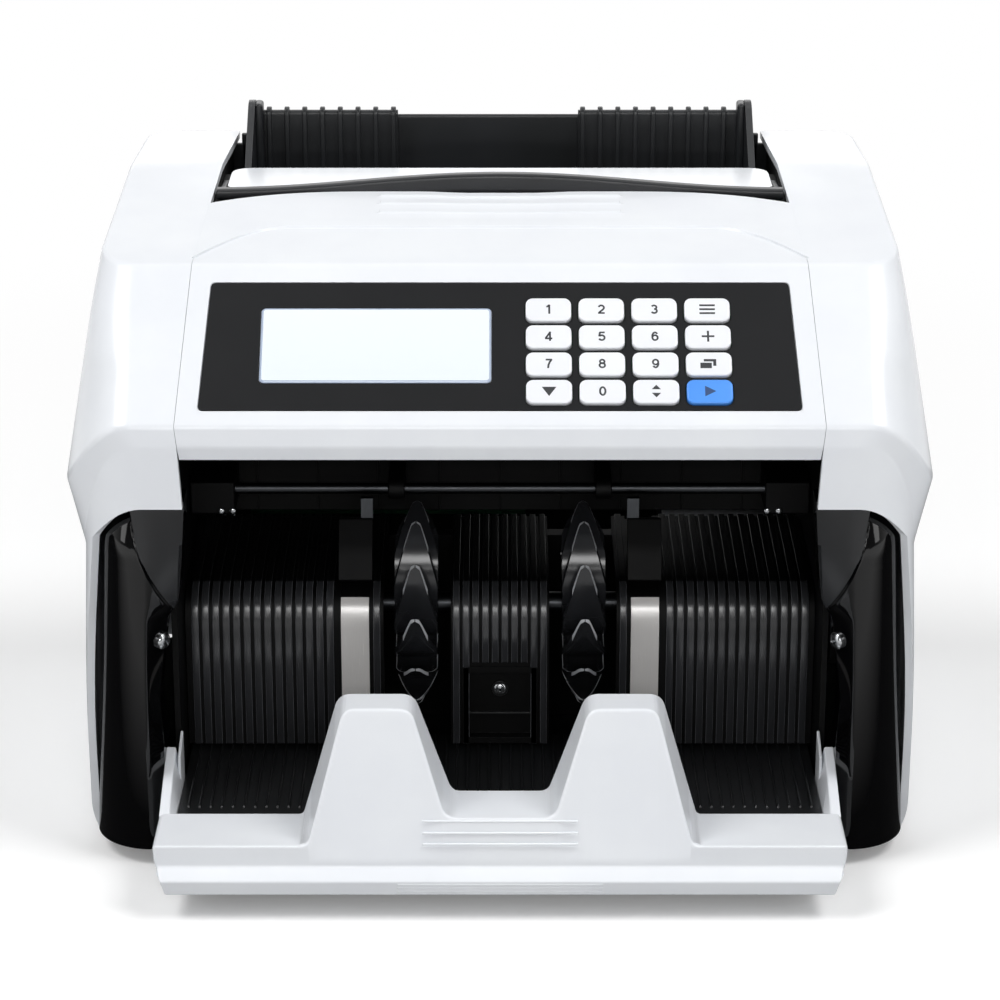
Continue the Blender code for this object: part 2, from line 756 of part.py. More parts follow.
def make_panel(materials):
    """Film overlay, display lens and the boards under them."""
    bottom = -PANEL_THICK
    overlay = flat_prism("panel_overlay", panel_outline(), bottom, 0.0, materials["film"])
    holes = [flat_prism("cut_lens", rounded_outline(LCD_LEFT - GAP, LCD_FOOT - GAP, LCD_RIGHT + GAP,
                                                    LCD_TOP + GAP, PANEL_CORNER),
                        bottom - CUT, CUT, None)]
    for row, names in enumerate(KEY_NAMES):
        for column, name in enumerate(names):
            outline = key_outline(row, column, KEY_FIT, KEY_CORNER + KEY_FIT)
            holes.append(flat_prism("cut_" + name, outline, bottom - CUT, CUT, None))
    carve(overlay, [fuse_loose(holes)])
    on_slope(overlay)
    lens_low = -PANEL_RECESS + GAP
    lens = flat_prism("lcd_window", rounded_outline(LCD_LEFT, LCD_FOOT, LCD_RIGHT, LCD_TOP, PANEL_CORNER),
                      lens_low, lens_low + LCD_THICK, materials["lens"])
    on_slope(lens)
    top = -WALL - GAP
    left, low, right, high = key_field(KEY_WINDOW_MARGIN + KEY_BOARD_MARGIN)
    board_left = LCD_LEFT - MODULE_MARGIN
    board = flat_prism("panel_board", rounded_outline(board_left, low, right, high, PANEL_CORNER),
                       top - BOARD_THICK, top, materials["board"])
    module = flat_prism("module", rounded_outline(board_left + GAP, low + GAP, LCD_RIGHT, high - GAP,
                                                  PANEL_CORNER),
                        top - MODULE_THICK, top - BOARD_THICK / 2, materials["board"])
    fuse(board, [module])
    on_slope(board)


def fuse_loose(things):
    """Join cutters that do not touch into one object."""
    shape = bmesh.new()
    for thing in things:
        shape.from_mesh(thing.data)
        bpy.data.objects.remove(thing)
    mesh = bpy.data.meshes.new("cutters")
    shape.to_mesh(mesh)
    shape.free()
    joined = bpy.data.objects.new("cutters", mesh)
    bpy.context.collection.objects.link(joined)
    return joined


def make_key(name, row, column, material):
    """Cap with a chamfered top and a flange that keeps it under the overlay."""
    low = -WALL - GAP + KEY_TRAVEL + GAP
    flange_top = low + KEY_FLANGE_THICK
    levels = (
        (low, KEY_FLANGE, KEY_CORNER),
        (flange_top, KEY_FLANGE, KEY_CORNER),
        (flange_top, 0.0, KEY_CORNER),
        (KEY_RISE - KEY_CHAMFER, 0.0, KEY_CORNER),
        (KEY_RISE, -KEY_CHAMFER, KEY_CORNER - KEY_CHAMFER),
    )
    rings = []
    for height, grow, radius in levels:
        rings.append([(x, along, height) for x, along in key_outline(row, column, grow, radius)])
    key = place(name, loft(rings), material)
    x, along = key_spot(row, column)
    key.data.transform(Matrix.Translation((-x, -along, 0.0)))
    on_slope(key)
    key.location += Vector((x, along * math.cos(SLOPE), along * math.sin(SLOPE)))
    return key


def edge_height(share_of_quarter):
    """Height of a side cover's lower edge as it rounds the corner."""
    return blend(EDGE_FRONT_Z, EDGE_SIDE_Z, math.sin(QUARTER * share_of_quarter) ** 1.2)


def corner_panel_row(inner, level_z, under_edge):
    """One level of a corner panel, from its flank in the pocket round to its tail."""
    places = [(inner, PANEL_FLANK_BACK, 0.0), (inner, PANEL_CHAMFER_BACK, 0.0)]
    outer = blend(PANEL_FOOT_OUTER, PANEL_OUTER, min(level_z / PANEL_MID_Z, 1.0))
    for turn in CORNER_ANGLES:
        angle = math.radians(turn)
        x = PANEL_BEND_X + (outer - PANEL_BEND_X) * math.sin(angle)
        setback = PANEL_FRONT_BACK + PANEL_BEND_Y * (1 - math.cos(angle))
        places.append((x, setback, turn / CORNER_ANGLES[-1]))
    places.append((outer, PANEL_TAIL, 1.0))
    if not under_edge:
        return [(x, setback, level_z) for x, setback, share in places]
    heights = [edge_height(share) - FIT * 2 for x, setback, share in places]
    heights[-2] = PANEL_TAIL_Z
    heights[-1] = PANEL_TAIL_Z
    return [(x, setback, z) for (x, setback, share), z in zip(places, heights)]


def make_corner_panel(name, side, material):
    """Glossy corner trim beside the pocket, tucked behind the side cover."""
    clear_of_tray = TRAY_HALF + GAP
    step_z = PANEL_LOW_Z + PANEL_STEP
    rows = [
        corner_panel_row(clear_of_tray, HEM_Z, False),
        corner_panel_row(clear_of_tray, PANEL_LOW_Z, False),
        corner_panel_row(PANEL_INNER_LOW, step_z, False),
        corner_panel_row(PANEL_INNER_MID, PANEL_MID_Z, False),
        corner_panel_row(PANEL_INNER_TOP, EDGE_FRONT_Z, True),
    ]
    shape = bmesh.new()
    made = [[shape.verts.new((side * x, back(setback), z)) for x, setback, z in row] for row in rows]
    for one, two in zip(made, made[1:]):
        for index in range(len(one) - 1):
            shape.faces.new((one[index], one[index + 1], two[index + 1], two[index]))
    panel = place(name, shape, material)
    return thicken(panel, PANEL_WALL, (side * PANEL_BEND_X, back(PANEL_FLANK_BACK), PANEL_MID_Z))


def make_tray(material):
    """White front tray: lip, two towers and two side walls, hollow from below."""
    bar = [
        (TRAY_LIP_BACK, TRAY_FOOT_Z), (TRAY_LIP_BACK, TRAY_LIP_Z), (TRAY_FACE_BACK, TRAY_LIP_Z),
        (TRAY_FACE_BACK, TRAY_CREASE_Z), (-TRAY_REACH, TRAY_BELLY_Z), (TRAY_CHIN_BACK, TRAY_FOOT_Z),
    ]
    tray = prism("stacker_tray", bar, "X", -TRAY_HALF, TRAY_HALF, material)
    right = [(TOWER_FOOT_IN, VALLEY_Z), (TOWER_TOP_IN, TOWER_TOP_Z), (TOWER_TOP_OUT, TOWER_TOP_Z),
             (TOWER_FOOT_OUT, TRAY_LIP_Z - TRAY_SHELL)]
    outline = right + [(-x, z) for x, z in reversed(right)]
    towers = prism("towers", outline, "Y", TRAY_FACE_BACK, TRAY_LIP_BACK, material)
    lean = (TOWER_TOP_BACK - TRAY_FACE_BACK) / (TOWER_TOP_Z - TRAY_LIP_Z)
    over = TOWER_TOP_Z + CUT
    wedge = [(TRAY_FACE_BACK, TRAY_LIP_Z), (TRAY_FACE_BACK + lean * (over - TRAY_LIP_Z), over),
             (TRAY_FACE_BACK - CUT, over), (TRAY_FACE_BACK - CUT, TRAY_LIP_Z)]
    carve(towers, [prism("cut_lean", wedge, "X", -TRAY_HALF, TRAY_HALF, None)])
    wall = [(TRAY_LIP_BACK - TRAY_SHELL, TRAY_FOOT_Z), (TRAY_WALL_BACK, TRAY_FOOT_Z),
            (TRAY_WALL_BACK, TRAY_WALL_Z), (TRAY_LIP_BACK, TRAY_LIP_Z),
            (TRAY_LIP_BACK - TRAY_SHELL, TRAY_LIP_Z)]
    inner_half = TRAY_HALF - TRAY_SIDE_WALL
    walls = [prism("wall", wall, "X", side * inner_half, side * TRAY_HALF, material) for side in (-1, 1)]
    fuse(tray, [towers] + walls)
    inner = [
        (TRAY_LIP_BACK - TRAY_SHELL, TRAY_FOOT_Z - CUT),
        (TRAY_LIP_BACK - TRAY_SHELL, TRAY_LIP_Z - TRAY_SHELL),
        (TRAY_FACE_BACK + TRAY_SHELL, TRAY_LIP_Z - TRAY_SHELL),
        (TRAY_FACE_BACK + TRAY_SHELL, TRAY_FOOT_Z - CUT),
    ]
    half = TRAY_HALF - TRAY_SHELL
    return carve(tray, [prism("cut_hollow", inner, "X", -half, half, None)])


def rib_steps(low, high, pitch, width, rise):
    """Comb of points along X: flat land with ribs centred in the span."""
    count = int((high - low - width) / pitch)
    start = (low + high) / 2 - pitch * (count - 1) / 2
    points = [(low, 0.0)]
    for index in range(count):
        middle = start + pitch * index
        points += [(middle - width / 2, 0.0), (middle - width / 4, rise),
                   (middle + width / 4, rise), (middle + width / 2, 0.0)]
    points.append((high, 0.0))
    return points


def make_stacker_floor(material):
    """Ribbed floor plate on two legs."""
    half = TRAY_HALF - TRAY_SIDE_WALL - GAP
    comb = rib_steps(-half, half, RIB_PITCH, RIB_WIDTH, RIB_RISE)
    top = [(x, FLOOR_Z + rise) for x, rise in comb]
    under = FLOOR_Z - FLOOR_THICK
    foot = PAN_Z + STEEL + GAP
    leg = half - FLOOR_LEG_INSET
    legs = [(half, under), (leg + FLOOR_LEG, under), (leg + FLOOR_LEG, foot), (leg, foot), (leg, under)]
    below = legs + [(-x, z) for x, z in reversed(legs)]
    return prism("stacker_floor", top + below, "Y", TRAY_LIP_BACK + GAP, FLOOR_REAR, material)


def guide_path():
    """Middle line of a guide's outer face: up the front, over the shoulder, back along the top."""
    foot = FLOOR_Z + RIB_RISE + GAP
    bend_back = blend(GUIDE_BACK, GUIDE_TOP_BACK, 0.3)
    bend_z = blend(GUIDE_SHOULDER_Z, GUIDE_TOP_Z, 0.7)
    return [(GUIDE_BACK, foot), (GUIDE_BACK, GUIDE_SHOULDER_Z), (bend_back, bend_z),
            (GUIDE_TOP_BACK, GUIDE_TOP_Z), (GUIDE_REAR_BACK, GUIDE_REAR_Z)]


def path_normals(path):
    """Outward directions, to the front and up; the ends stay square to their run."""
    runs = [(Vector(two) - Vector(one)).normalized() for one, two in zip(path, path[1:])]
    normals = []
    for index in range(len(path)):
        before = runs[max(index - 1, 0)]
        after = runs[min(index, len(runs) - 1)]
        one = Vector((-before.y, before.x))
        two = Vector((-after.y, after.x))
        middle = (one + two).normalized()
        normals.append(middle / max(middle.dot(one), 0.5))
    return normals


def ribbed_wall(name, comb, path, thickness, material, side=1):
    """Bent wall whose outer face carries the comb; its inner face is plain."""
    normals = path_normals(path)
    shape = bmesh.new()
    outer = []
    inner = []
    for (setback, z), normal in zip(path, normals):
        outer.append([shape.verts.new((side * x, back(setback + normal.x * rise), z + normal.y * rise))
                      for x, rise in comb])
        deep = -thickness
        inner.append([shape.verts.new((side * x, back(setback + normal.x * deep), z + normal.y * deep))
                      for x in (comb[0][0], comb[-1][0])])
    for row in range(len(path) - 1):
        one, two = outer[row], outer[row + 1]
        for index in range(len(comb) - 1):
            shape.faces.new((one[index], one[index + 1], two[index + 1], two[index]))
        shape.faces.new((inner[row][0], inner[row][1], inner[row + 1][1], inner[row + 1][0]))
        shape.faces.new((one[0], two[0], inner[row + 1][0], inner[row][0]))
        shape.faces.new((one[-1], two[-1], inner[row + 1][1], inner[row][1]))
    shape.faces.new(outer[0] + [inner[0][1], inner[0][0]])
    shape.faces.new(outer[-1] + [inner[-1][1], inner[-1][0]])
    return place(name, shape, material)


def make_back_guide(name, side, material):
    """Ribbed guide with a channel for the steel strip and the bracket that holds the strip's top."""
    narrow = rib_steps(GUIDE_IN, GUIDE_STRIP_IN, GUIDE_RIB_PITCH / 2, GUIDE_RIB_WIDTH / 2, RIB_RISE)
    wide = rib_steps(GUIDE_STRIP_OUT, GUIDE_OUT, GUIDE_RIB_PITCH, GUIDE_RIB_WIDTH, RIB_RISE)
    channel = [(GUIDE_STRIP_IN + GAP, -GUIDE_STRIP_SINK), (GUIDE_STRIP_OUT - GAP, -GUIDE_STRIP_SINK)]
    guide = ribbed_wall(name, narrow + channel + wide, guide_path(), WALL, material, side)
    bracket = [
        (GUIDE_TOP_BACK + BRACKET_THICK, GUIDE_TOP_Z - WALL),
        (GUIDE_TOP_BACK - BRACKET_THICK, GUIDE_TOP_Z + GAP),
        (GUIDE_TOP_BACK + BRACKET_LEAN, (GUIDE_TOP_Z + BRACKET_TOP_Z) / 2),
        (BRACKET_TOP_BACK - BRACKET_THICK, BRACKET_TOP_Z),
        (BRACKET_TOP_BACK, BRACKET_TOP_Z),
        (GUIDE_TOP_BACK + BRACKET_LEAN + BRACKET_THICK * 2, (GUIDE_TOP_Z + BRACKET_TOP_Z) / 2),
        (GUIDE_TOP_BACK + BRACKET_THICK * 4, GUIDE_TOP_Z - WALL),
    ]
    arm = prism("bracket", bracket, "X", side * (GUIDE_STRIP_IN - RIB_RISE),
                side * (GUIDE_STRIP_OUT + RIB_RISE), material)
    return fuse(guide, [arm])


def make_steel_strip(name, side, material):
    """Bright strip that lies in the guide's channel and ends under the bracket."""
    path = [(point[0], point[1]) for point in guide_path()[:3]]
    path[0] = (path[0][0], path[0][1] + GAP)
    sink = GUIDE_STRIP_SINK - GAP - STRIP_THICK
    comb = [(STRIP_IN, -sink), (STRIP_OUT, -sink)]
    return ribbed_wall(name, comb, path, sink + STRIP_THICK, material, side)


def make_centre_guide(material):
    """Centre guide with its screwed pocket."""
    comb = rib_steps(-CENTRE_HALF, CENTRE_HALF, CENTRE_RIB_PITCH, GUIDE_RIB_WIDTH, RIB_RISE)
    guide = ribbed_wall("centre_back_guide", comb, guide_path(), WALL, material)
    rear = GUIDE_BACK + CENTRE_BOX_DEEP
    low = CENTRE_POCKET_LOW - WALL
    high = CENTRE_POCKET_HIGH + WALL
    housing = box("housing", (-CENTRE_BOX_HALF, GUIDE_BACK - RIB_RISE, low),
                  (CENTRE_BOX_HALF, rear, high), material)
    fuse(guide, [housing])
    pocket = box("cut_pocket", (-CENTRE_POCKET_HALF, GUIDE_BACK - CUT, CENTRE_POCKET_LOW),
                 (CENTRE_POCKET_HALF, GUIDE_BACK + CENTRE_POCKET_DEEP, CENTRE_POCKET_HIGH), None)
    return carve(guide, [pocket])


def make_upper_guide(material):
    """Ceiling and rear wall of the pocket, with hangers and end blocks for the guide shaft."""
    half = PLATE_IN - GAP
    profile = [
        (UPPER_FRONT_BACK, UPPER_CEILING_Z), (UPPER_WALL_BACK, UPPER_CEILING_Z),
        (UPPER_WALL_BACK, UPPER_FOOT_Z), (UPPER_WALL_BACK + WALL, UPPER_FOOT_Z),
        (UPPER_WALL_BACK + WALL, UPPER_CEILING_Z + WALL), (UPPER_FRONT_BACK, UPPER_CEILING_Z + WALL),
    ]
    guide = prism("upper_guide", profile, "X", -half, half, material)
    rear = UPPER_WALL_BACK + WALL / 2
    eye = [(GUIDE_SHAFT_BACK + along, GUIDE_SHAFT_Z + up)
           for along, up in circle(HANGER_RADIUS, 6, QUARTER, QUARTER * 3)]
    hanger = eye + [(rear, GUIDE_SHAFT_Z - HANGER_RADIUS), (rear, GUIDE_SHAFT_Z + HANGER_RADIUS)]
    parts = []
    for side in (-1, 1):
        parts.append(prism("hanger", hanger, "X", side * HANGER_IN, side * HANGER_OUT, material))
        low = (min(side * END_BLOCK_IN, side * half), END_BLOCK_FRONT, END_BLOCK_LOW)
        high = (max(side * END_BLOCK_IN, side * half), rear, GUIDE_SHAFT_Z + HANGER_RADIUS)
        parts.append(box("end_block", low, high, material))
    fuse(guide, parts)
    reach = GUIDE_SHAFT_HALF + GAP
    return carve(guide, [bore("cut_shaft", GUIDE_SHAFT_BACK, GUIDE_SHAFT_Z, GUIDE_SHAFT_RADIUS + GAP,
                              -reach, reach, 12)])


def belt_pulleys():
    """Setback, height and pulley radius of the four axes that the belt joins."""
    feed_back, feed_z = feed_axis()
    return [
        (MOTOR_BACK, MOTOR_Z, MOTOR_PULLEY),
        (IMPELLER_BACK, IMPELLER_Z, IMPELLER_PULLEY),
        (DRUM_BACK, DRUM_Z, DRUM_PULLEY),
        (feed_back, feed_z, FEED_PULLEY),
    ]


def feed_axis():
    """The feed rollers stand a little proud of the hopper bed."""
    share = (BED_SLOT_FRONT - BED_FRONT_BACK) / (BED_REAR_BACK - BED_FRONT_BACK)
    spot = blend(share, 1.0, 0.35)
    surface_back = blend(BED_FRONT_BACK, BED_REAR_BACK, spot)
    surface_z = blend(BED_FRONT_Z, BED_REAR_Z, spot)
    drop = FEED_RADIUS - FEED_PROUD
    return surface_back + drop * math.sin(BED_SLOPE), surface_z - drop * math.cos(BED_SLOPE)


def hull(points):
    """Convex outline of points, anticlockwise."""
    ordered = sorted(points)

    def half(run):
        kept = []
        for point in run:
            while len(kept) > 1:
                one = Vector(kept[-1]) - Vector(kept[-2])
                two = Vector(point) - Vector(kept[-1])
                if one.x * two.y - one.y * two.x > 0:
                    break
                kept.pop()
            kept.append(point)
        return kept[:-1]
    return half(ordered) + half(ordered[::-1])


def belt_loop(extra):
    points = []
    for setback, z, radius in belt_pulleys():
        for along, up in circle(radius + extra, ROUND_STEPS * 2):
            points.append((setback + along, z + up))
    return hull(points)


def make_belt(material):
    """Drive belt round the four pulleys."""
    low = PULLEY_IN + BELT_MARGIN
    high = PULLEY_OUT - BELT_MARGIN
    belt = prism("drive_belt", belt_loop(FIT + BELT_THICK), "X", low, high, material)
    return carve(belt, [prism("cut_belt", belt_loop(FIT), "X", low - CUT, high + CUT, None)])


def make_impeller(name, side, material):
    """Stacker wheel: curved fins that narrow to a rounded tip and trail behind the turn."""
    ribs = 4
    rings = [[], []]
    fins = []
    for fin in range(IMPELLER_FINS):
        tip = math.radians(IMPELLER_PHASE + 360.0 / IMPELLER_FINS * fin)
        pair = [[], []]
        for step in range(ribs + 1):
            share = step / ribs
            radius = blend(IMPELLER_HUB, IMPELLER_RADIUS, share ** 0.7)
            middle = tip + math.radians(IMPELLER_SWEEP) * (1 - share) ** 1.3
            spread = math.radians(360.0 / IMPELLER_FINS) * blend(0.30, 0.035, share ** 0.5)
            width = blend(IMPELLER_HALF, IMPELLER_TIP_HALF, share ** 2.6)
            for edge, sign in enumerate((-1, 1)):
                angle = middle + sign * spread
                setback = IMPELLER_BACK - radius * math.sin(angle)
                z = IMPELLER_Z + radius * math.cos(angle)
                pair[edge].append((setback, z, width))
        fins.append(pair)
    shape = bmesh.new()
    hub_count = IMPELLER_FINS * 2
    made = {}
    for face in (-1, 1):
        made[face] = []
        for pair in fins:
            made[face].append([[shape.verts.new((side * IMPELLER_X + face * width, back(setback), z))
                                for setback, z, width in edge] for edge in pair])
        for trail, lead in made[face]:
            for step in range(ribs):
                shape.faces.new((trail[step], lead[step], lead[step + 1], trail[step + 1]))
        hub = [edge[0] for pair in made[face] for edge in pair]
        bore_ring = []
        for vertex in hub:
            offset = Vector((0.0, vertex.co.y - back(IMPELLER_BACK), vertex.co.z - IMPELLER_Z)).normalized()
            spot = Vector((vertex.co.x, back(IMPELLER_BACK), IMPELLER_Z)) + offset * (SHAFT_RADIUS + FIT)
            bore_ring.append(shape.verts.new(spot))
        for index in range(hub_count):
            after = (index + 1) % hub_count
            shape.faces.new((hub[index], hub[after], bore_ring[after], bore_ring[index]))
        rings[0 if face < 0 else 1] = bore_ring
    for index in range(hub_count):
        after = (index + 1) % hub_count
        shape.faces.new((rings[0][index], rings[0][after], rings[1][after], rings[1][index]))
    for fin in range(IMPELLER_FINS):
        low, high = made[-1][fin], made[1][fin]
        following = (fin + 1) % IMPELLER_FINS
        for edge in (0, 1):
            for step in range(ribs):
                shape.faces.new((low[edge][step], low[edge][step + 1], high[edge][step + 1], high[edge][step]))
        shape.faces.new((low[0][-1], low[1][-1], high[1][-1], high[0][-1]))
        shape.faces.new((low[1][0], made[-1][following][0][0], made[1][following][0][0], high[1][0]))
    return place(name, shape, material)


def shaft_profile(rollers, pulley, roller_radius):
    """X and radius along a shaft with two rollers and a pulley at its right end."""
    profile = [(-SHAFT_END_LEFT, SHAFT_RADIUS)]
    for side in rollers:
        low, high = sorted((side * ROLLER_IN, side * ROLLER_OUT))
        profile += [(low, SHAFT_RADIUS), (low, roller_radius), (high, roller_radius), (high, SHAFT_RADIUS)]
    profile += [(PULLEY_IN, SHAFT_RADIUS), (PULLEY_IN, pulley), (PULLEY_OUT, pulley),
                (PULLEY_OUT, SHAFT_RADIUS), (PULLEY_STUB, SHAFT_RADIUS)]
    return profile


def make_turning_parts(materials):
    feed_back, feed_z = feed_axis()
    impeller = turned("impeller_shaft", shaft_profile((), IMPELLER_PULLEY, 0.0),
                      IMPELLER_BACK, IMPELLER_Z, materials["plate"])
    drum = turned("drum_shaft", shaft_profile((-1, 1), DRUM_PULLEY, DRUM_RADIUS),
                  DRUM_BACK, DRUM_Z, materials["rubber"])
    feed = turned("feed_shaft", shaft_profile((-1, 1), FEED_PULLEY, FEED_RADIUS),
                  feed_back, feed_z, materials["rubber"])
    set_pivot(impeller, IMPELLER_BACK, IMPELLER_Z)
    set_pivot(drum, DRUM_BACK, DRUM_Z)
    set_pivot(feed, feed_back, feed_z)
    for name, side in (("left_impeller", -1), ("right_impeller", 1)):
        wheel = make_impeller(name, side, materials["black"])
        set_pivot(wheel, IMPELLER_BACK, IMPELLER_Z)
    pulley_bore = MOTOR_SHAFT + GAP
    profile = [(PULLEY_IN, pulley_bore), (PULLEY_IN, MOTOR_PULLEY), (PULLEY_OUT, MOTOR_PULLEY),
               (PULLEY_OUT, pulley_bore)]
    pulley = turned("motor_pulley", profile, MOTOR_BACK, MOTOR_Z, materials["steel"], hollow=True)
    set_pivot(pulley, MOTOR_BACK, MOTOR_Z)


def make_motor(material):
    """Motor can with its boss in the frame plate and its shaft in the pulley."""
    face = PLATE_IN - GAP
    profile = [
        (face - MOTOR_LENGTH, MOTOR_RADIUS), (face, MOTOR_RADIUS), (face, MOTOR_BOSS),
        (PLATE_IN + STEEL, MOTOR_BOSS), (PLATE_IN + STEEL, MOTOR_SHAFT), (PULLEY_STUB, MOTOR_SHAFT),
    ]
    return turned("drive_motor", profile, MOTOR_BACK, MOTOR_Z, material)


def shaft_axes():
    feed_back, feed_z = feed_axis()
    return [(IMPELLER_BACK, IMPELLER_Z), (DRUM_BACK, DRUM_Z), (feed_back, feed_z)]


def make_frame_plate(name, side, material):
    """Side plate of the frame with a flanged bush for each shaft."""
    foot = PAN_Z + STEEL + GAP
    outline = [
        (PLATE_FRONT_BACK, foot), (PLATE_REAR_BACK, foot), (PLATE_REAR_BACK, PLATE_TOP_Z),
        (PLATE_TOP_BACK, PLATE_TOP_Z), (PLATE_SHOULDER_BACK, PLATE_SHOULDER_Z),
        (PLATE_FRONT_BACK, PLATE_NECK_Z),
    ]
    plate = prism(name, outline, "X", side * PLATE_IN, side * (PLATE_IN + STEEL), material)
    low, high = sorted((side * PLATE_IN, side * (PLATE_IN + STEEL + BUSH_PROUD)))
    bushes = [bore("bush", setback, z, BUSH_RADIUS, low, high) for setback, z in shaft_axes()]
    fuse(plate, [fuse_loose(bushes)])
    ends = (low - CUT, high + CUT)
    holes = [bore("cut_shaft", setback, z, SHAFT_RADIUS + FIT, *ends) for setback, z in shaft_axes()]
    if side > 0:
        holes.append(bore("cut_motor", MOTOR_BACK, MOTOR_Z, MOTOR_BOSS + FIT, *ends))
    return carve(plate, [fuse_loose(holes)])


def make_foot(name, x, setback, material):
    """Round foot under the base pan."""
    rings = [[(x + along, back(setback) + up, z) for along, up in circle(radius, ROUND_STEPS)]
             for z, radius in ((0.0, FOOT_RADIUS - GAP), (PAN_Z - GAP, FOOT_RADIUS))]
    return place(name, loft(rings), material, smooth=True)


def make_base(materials):
    """Base pan, wide behind the corner panels, with side flanges, and four feet."""
    rear = REAR_COVER_BACK - WALL - GAP
    side_rear = rear - REAR_CORNER
    right = [(TRAY_HALF, PAN_FRONT_BACK), (TRAY_HALF, PAN_WIDE_BACK), (PAN_HALF, PAN_WIDE_BACK),
             (PAN_HALF, side_rear), (PAN_HALF - REAR_CORNER, rear)]
    outline = right + [(-x, setback) for x, setback in reversed(right)]
    pan = prism("base_pan", outline, "Z", PAN_Z, PAN_Z + STEEL, materials["plate"])
    flanges = []
    for side in (-1, 1):
        low, high = sorted((side * (PAN_HALF - STEEL), side * PAN_HALF))
        flanges.append(box("flange", (low, PAN_WIDE_BACK, PAN_Z),
                           (high, side_rear, PAN_Z + PAN_FLANGE), materials["plate"]))
    fuse(pan, flanges)
    for place_name, x, setback in (("front", FOOT_FRONT_X, FOOT_FRONT_BACK), ("rear", FOOT_REAR_X, FOOT_REAR_BACK)):
        for side_name, side in (("left", -1), ("right", 1)):
            make_foot(f"{place_name}_{side_name}_foot", side * x, setback, materials["rubber"])
    half = PLATE_IN - GAP
    top = GUIDE_TOP_Z - WALL - FIT
    foot = PAN_Z + STEEL + GAP
    profile = [
        (BULKHEAD_BACK, foot), (BULKHEAD_BACK, top), (BULKHEAD_BACK + BULKHEAD_FLANGE, top),
        (BULKHEAD_BACK + BULKHEAD_FLANGE, top - STEEL), (BULKHEAD_BACK + STEEL, top - STEEL),
        (BULKHEAD_BACK + STEEL, foot),
    ]
    prism("rear_bulkhead", profile, "X", -half, half, materials["plate"])


def lip_outline():
    """Lip seen from above, with its ends rounded towards the hopper."""
    corner = [(LIP_HALF - LIP_ROUND + along, LIP_REAR_BACK - LIP_ROUND + up)
              for along, up in circle(LIP_ROUND, 3, 0.0, QUARTER)]
    right = [(LIP_HALF, LIP_FRONT_BACK)] + corner
    return right + [(-x, setback) for x, setback in reversed(right)]


def bed_height(setback):
    return BED_FRONT_Z + (setback - BED_FRONT_BACK) * math.tan(BED_SLOPE)


def under_deck(setback):
    """Highest level that stays clear of the side covers' deck."""
    return deck_height(setback) - COVER_WALL * 2 + WALL - FIT


def make_hopper_frame(material):
    """Handle well, flange under the lip, hopper wall and sloping bed, tied by two cheeks."""
    flange_top = LIP_TOP_Z - WALL - GAP
    flange_low = flange_top - WALL
    wall_back = LIP_REAR_BACK - WALL
    half = FRAME_CHEEK_IN + GAP
    profile = [
        (FRAME_FRONT_BACK, FRAME_WELL_Z), (FRAME_RISER_BACK + WALL, FRAME_WELL_Z),
        (FRAME_RISER_BACK + WALL, flange_low), (wall_back, flange_low),
        (wall_back, FRAME_WALL_LOW_Z), (LIP_REAR_BACK, FRAME_WALL_LOW_Z),
        (LIP_REAR_BACK, flange_top), (FRAME_RISER_BACK, flange_top),
        (FRAME_RISER_BACK, FRAME_WELL_Z + WALL), (FRAME_FRONT_BACK, FRAME_WELL_Z + WALL),
    ]
    frame = prism("hopper_frame", profile, "X", -half, half, material)
    drop = WALL / math.cos(BED_SLOPE)
    bed = [(BED_FRONT_BACK, BED_FRONT_Z), (BED_REAR_BACK, BED_REAR_Z),
           (BED_REAR_BACK, BED_REAR_Z - drop), (BED_FRONT_BACK, BED_FRONT_Z - drop)]
    cheek = [
        (FRAME_FRONT_BACK, FRAME_WELL_Z), (BED_FRONT_BACK, BED_FRONT_Z - drop),
        (BED_REAR_BACK, BED_REAR_Z - drop), (BED_REAR_BACK, under_deck(BED_REAR_BACK)),
        (KNEE_BACK, under_deck(KNEE_BACK)), (FRAME_FRONT_BACK, under_deck(FRAME_FRONT_BACK)),
    ]
    parts = [prism("bed", bed, "X", -half, half, material)]
    for side in (-1, 1):
        parts.append(prism("cheek", cheek, "X", side * FRAME_CHEEK_IN, side * FRAME_CHEEK_OUT, material))
        low, high = sorted((side * (FRAME_CHEEK_OUT - GAP), side * (PLATE_IN - GAP)))
        parts.append(box("foot", (low, FRAME_FOOT_FRONT, FRAME_FOOT_Z),
                         (high, FRAME_FOOT_REAR, FRAME_FOOT_Z + WALL), material))
    fuse(frame, parts)
    cutters = []
    for side in (-1, 1):
        low, high = sorted((side * (ARM_IN - FIT), side * (ARM_OUT + GAP)))
        cutters.append(box("cut_arm", (low, FRAME_RISER_BACK - CUT, FRAME_WELL_Z + WALL),
                           (high, PIVOT_BACK + ARM_EYE + FIT, LIP_TOP_Z + CUT), None))
        cutters.append(bore("cut_pivot", PIVOT_BACK, PIVOT_Z, PIVOT_RADIUS + GAP,
                            *sorted((side * ARM_OUT, side * (FRAME_CHEEK_OUT + CUT))), 12))
        low, high = sorted((side * (ROLLER_IN - BED_SLOT_MARGIN), side * (ROLLER_OUT + BED_SLOT_MARGIN)))
        cutters.append(box("cut_slot", (low, BED_SLOT_FRONT, BED_FRONT_Z - WALL),
                           (high, BED_REAR_BACK - WALL, BED_REAR_Z + CUT), None))
    return carve(frame, cutters)


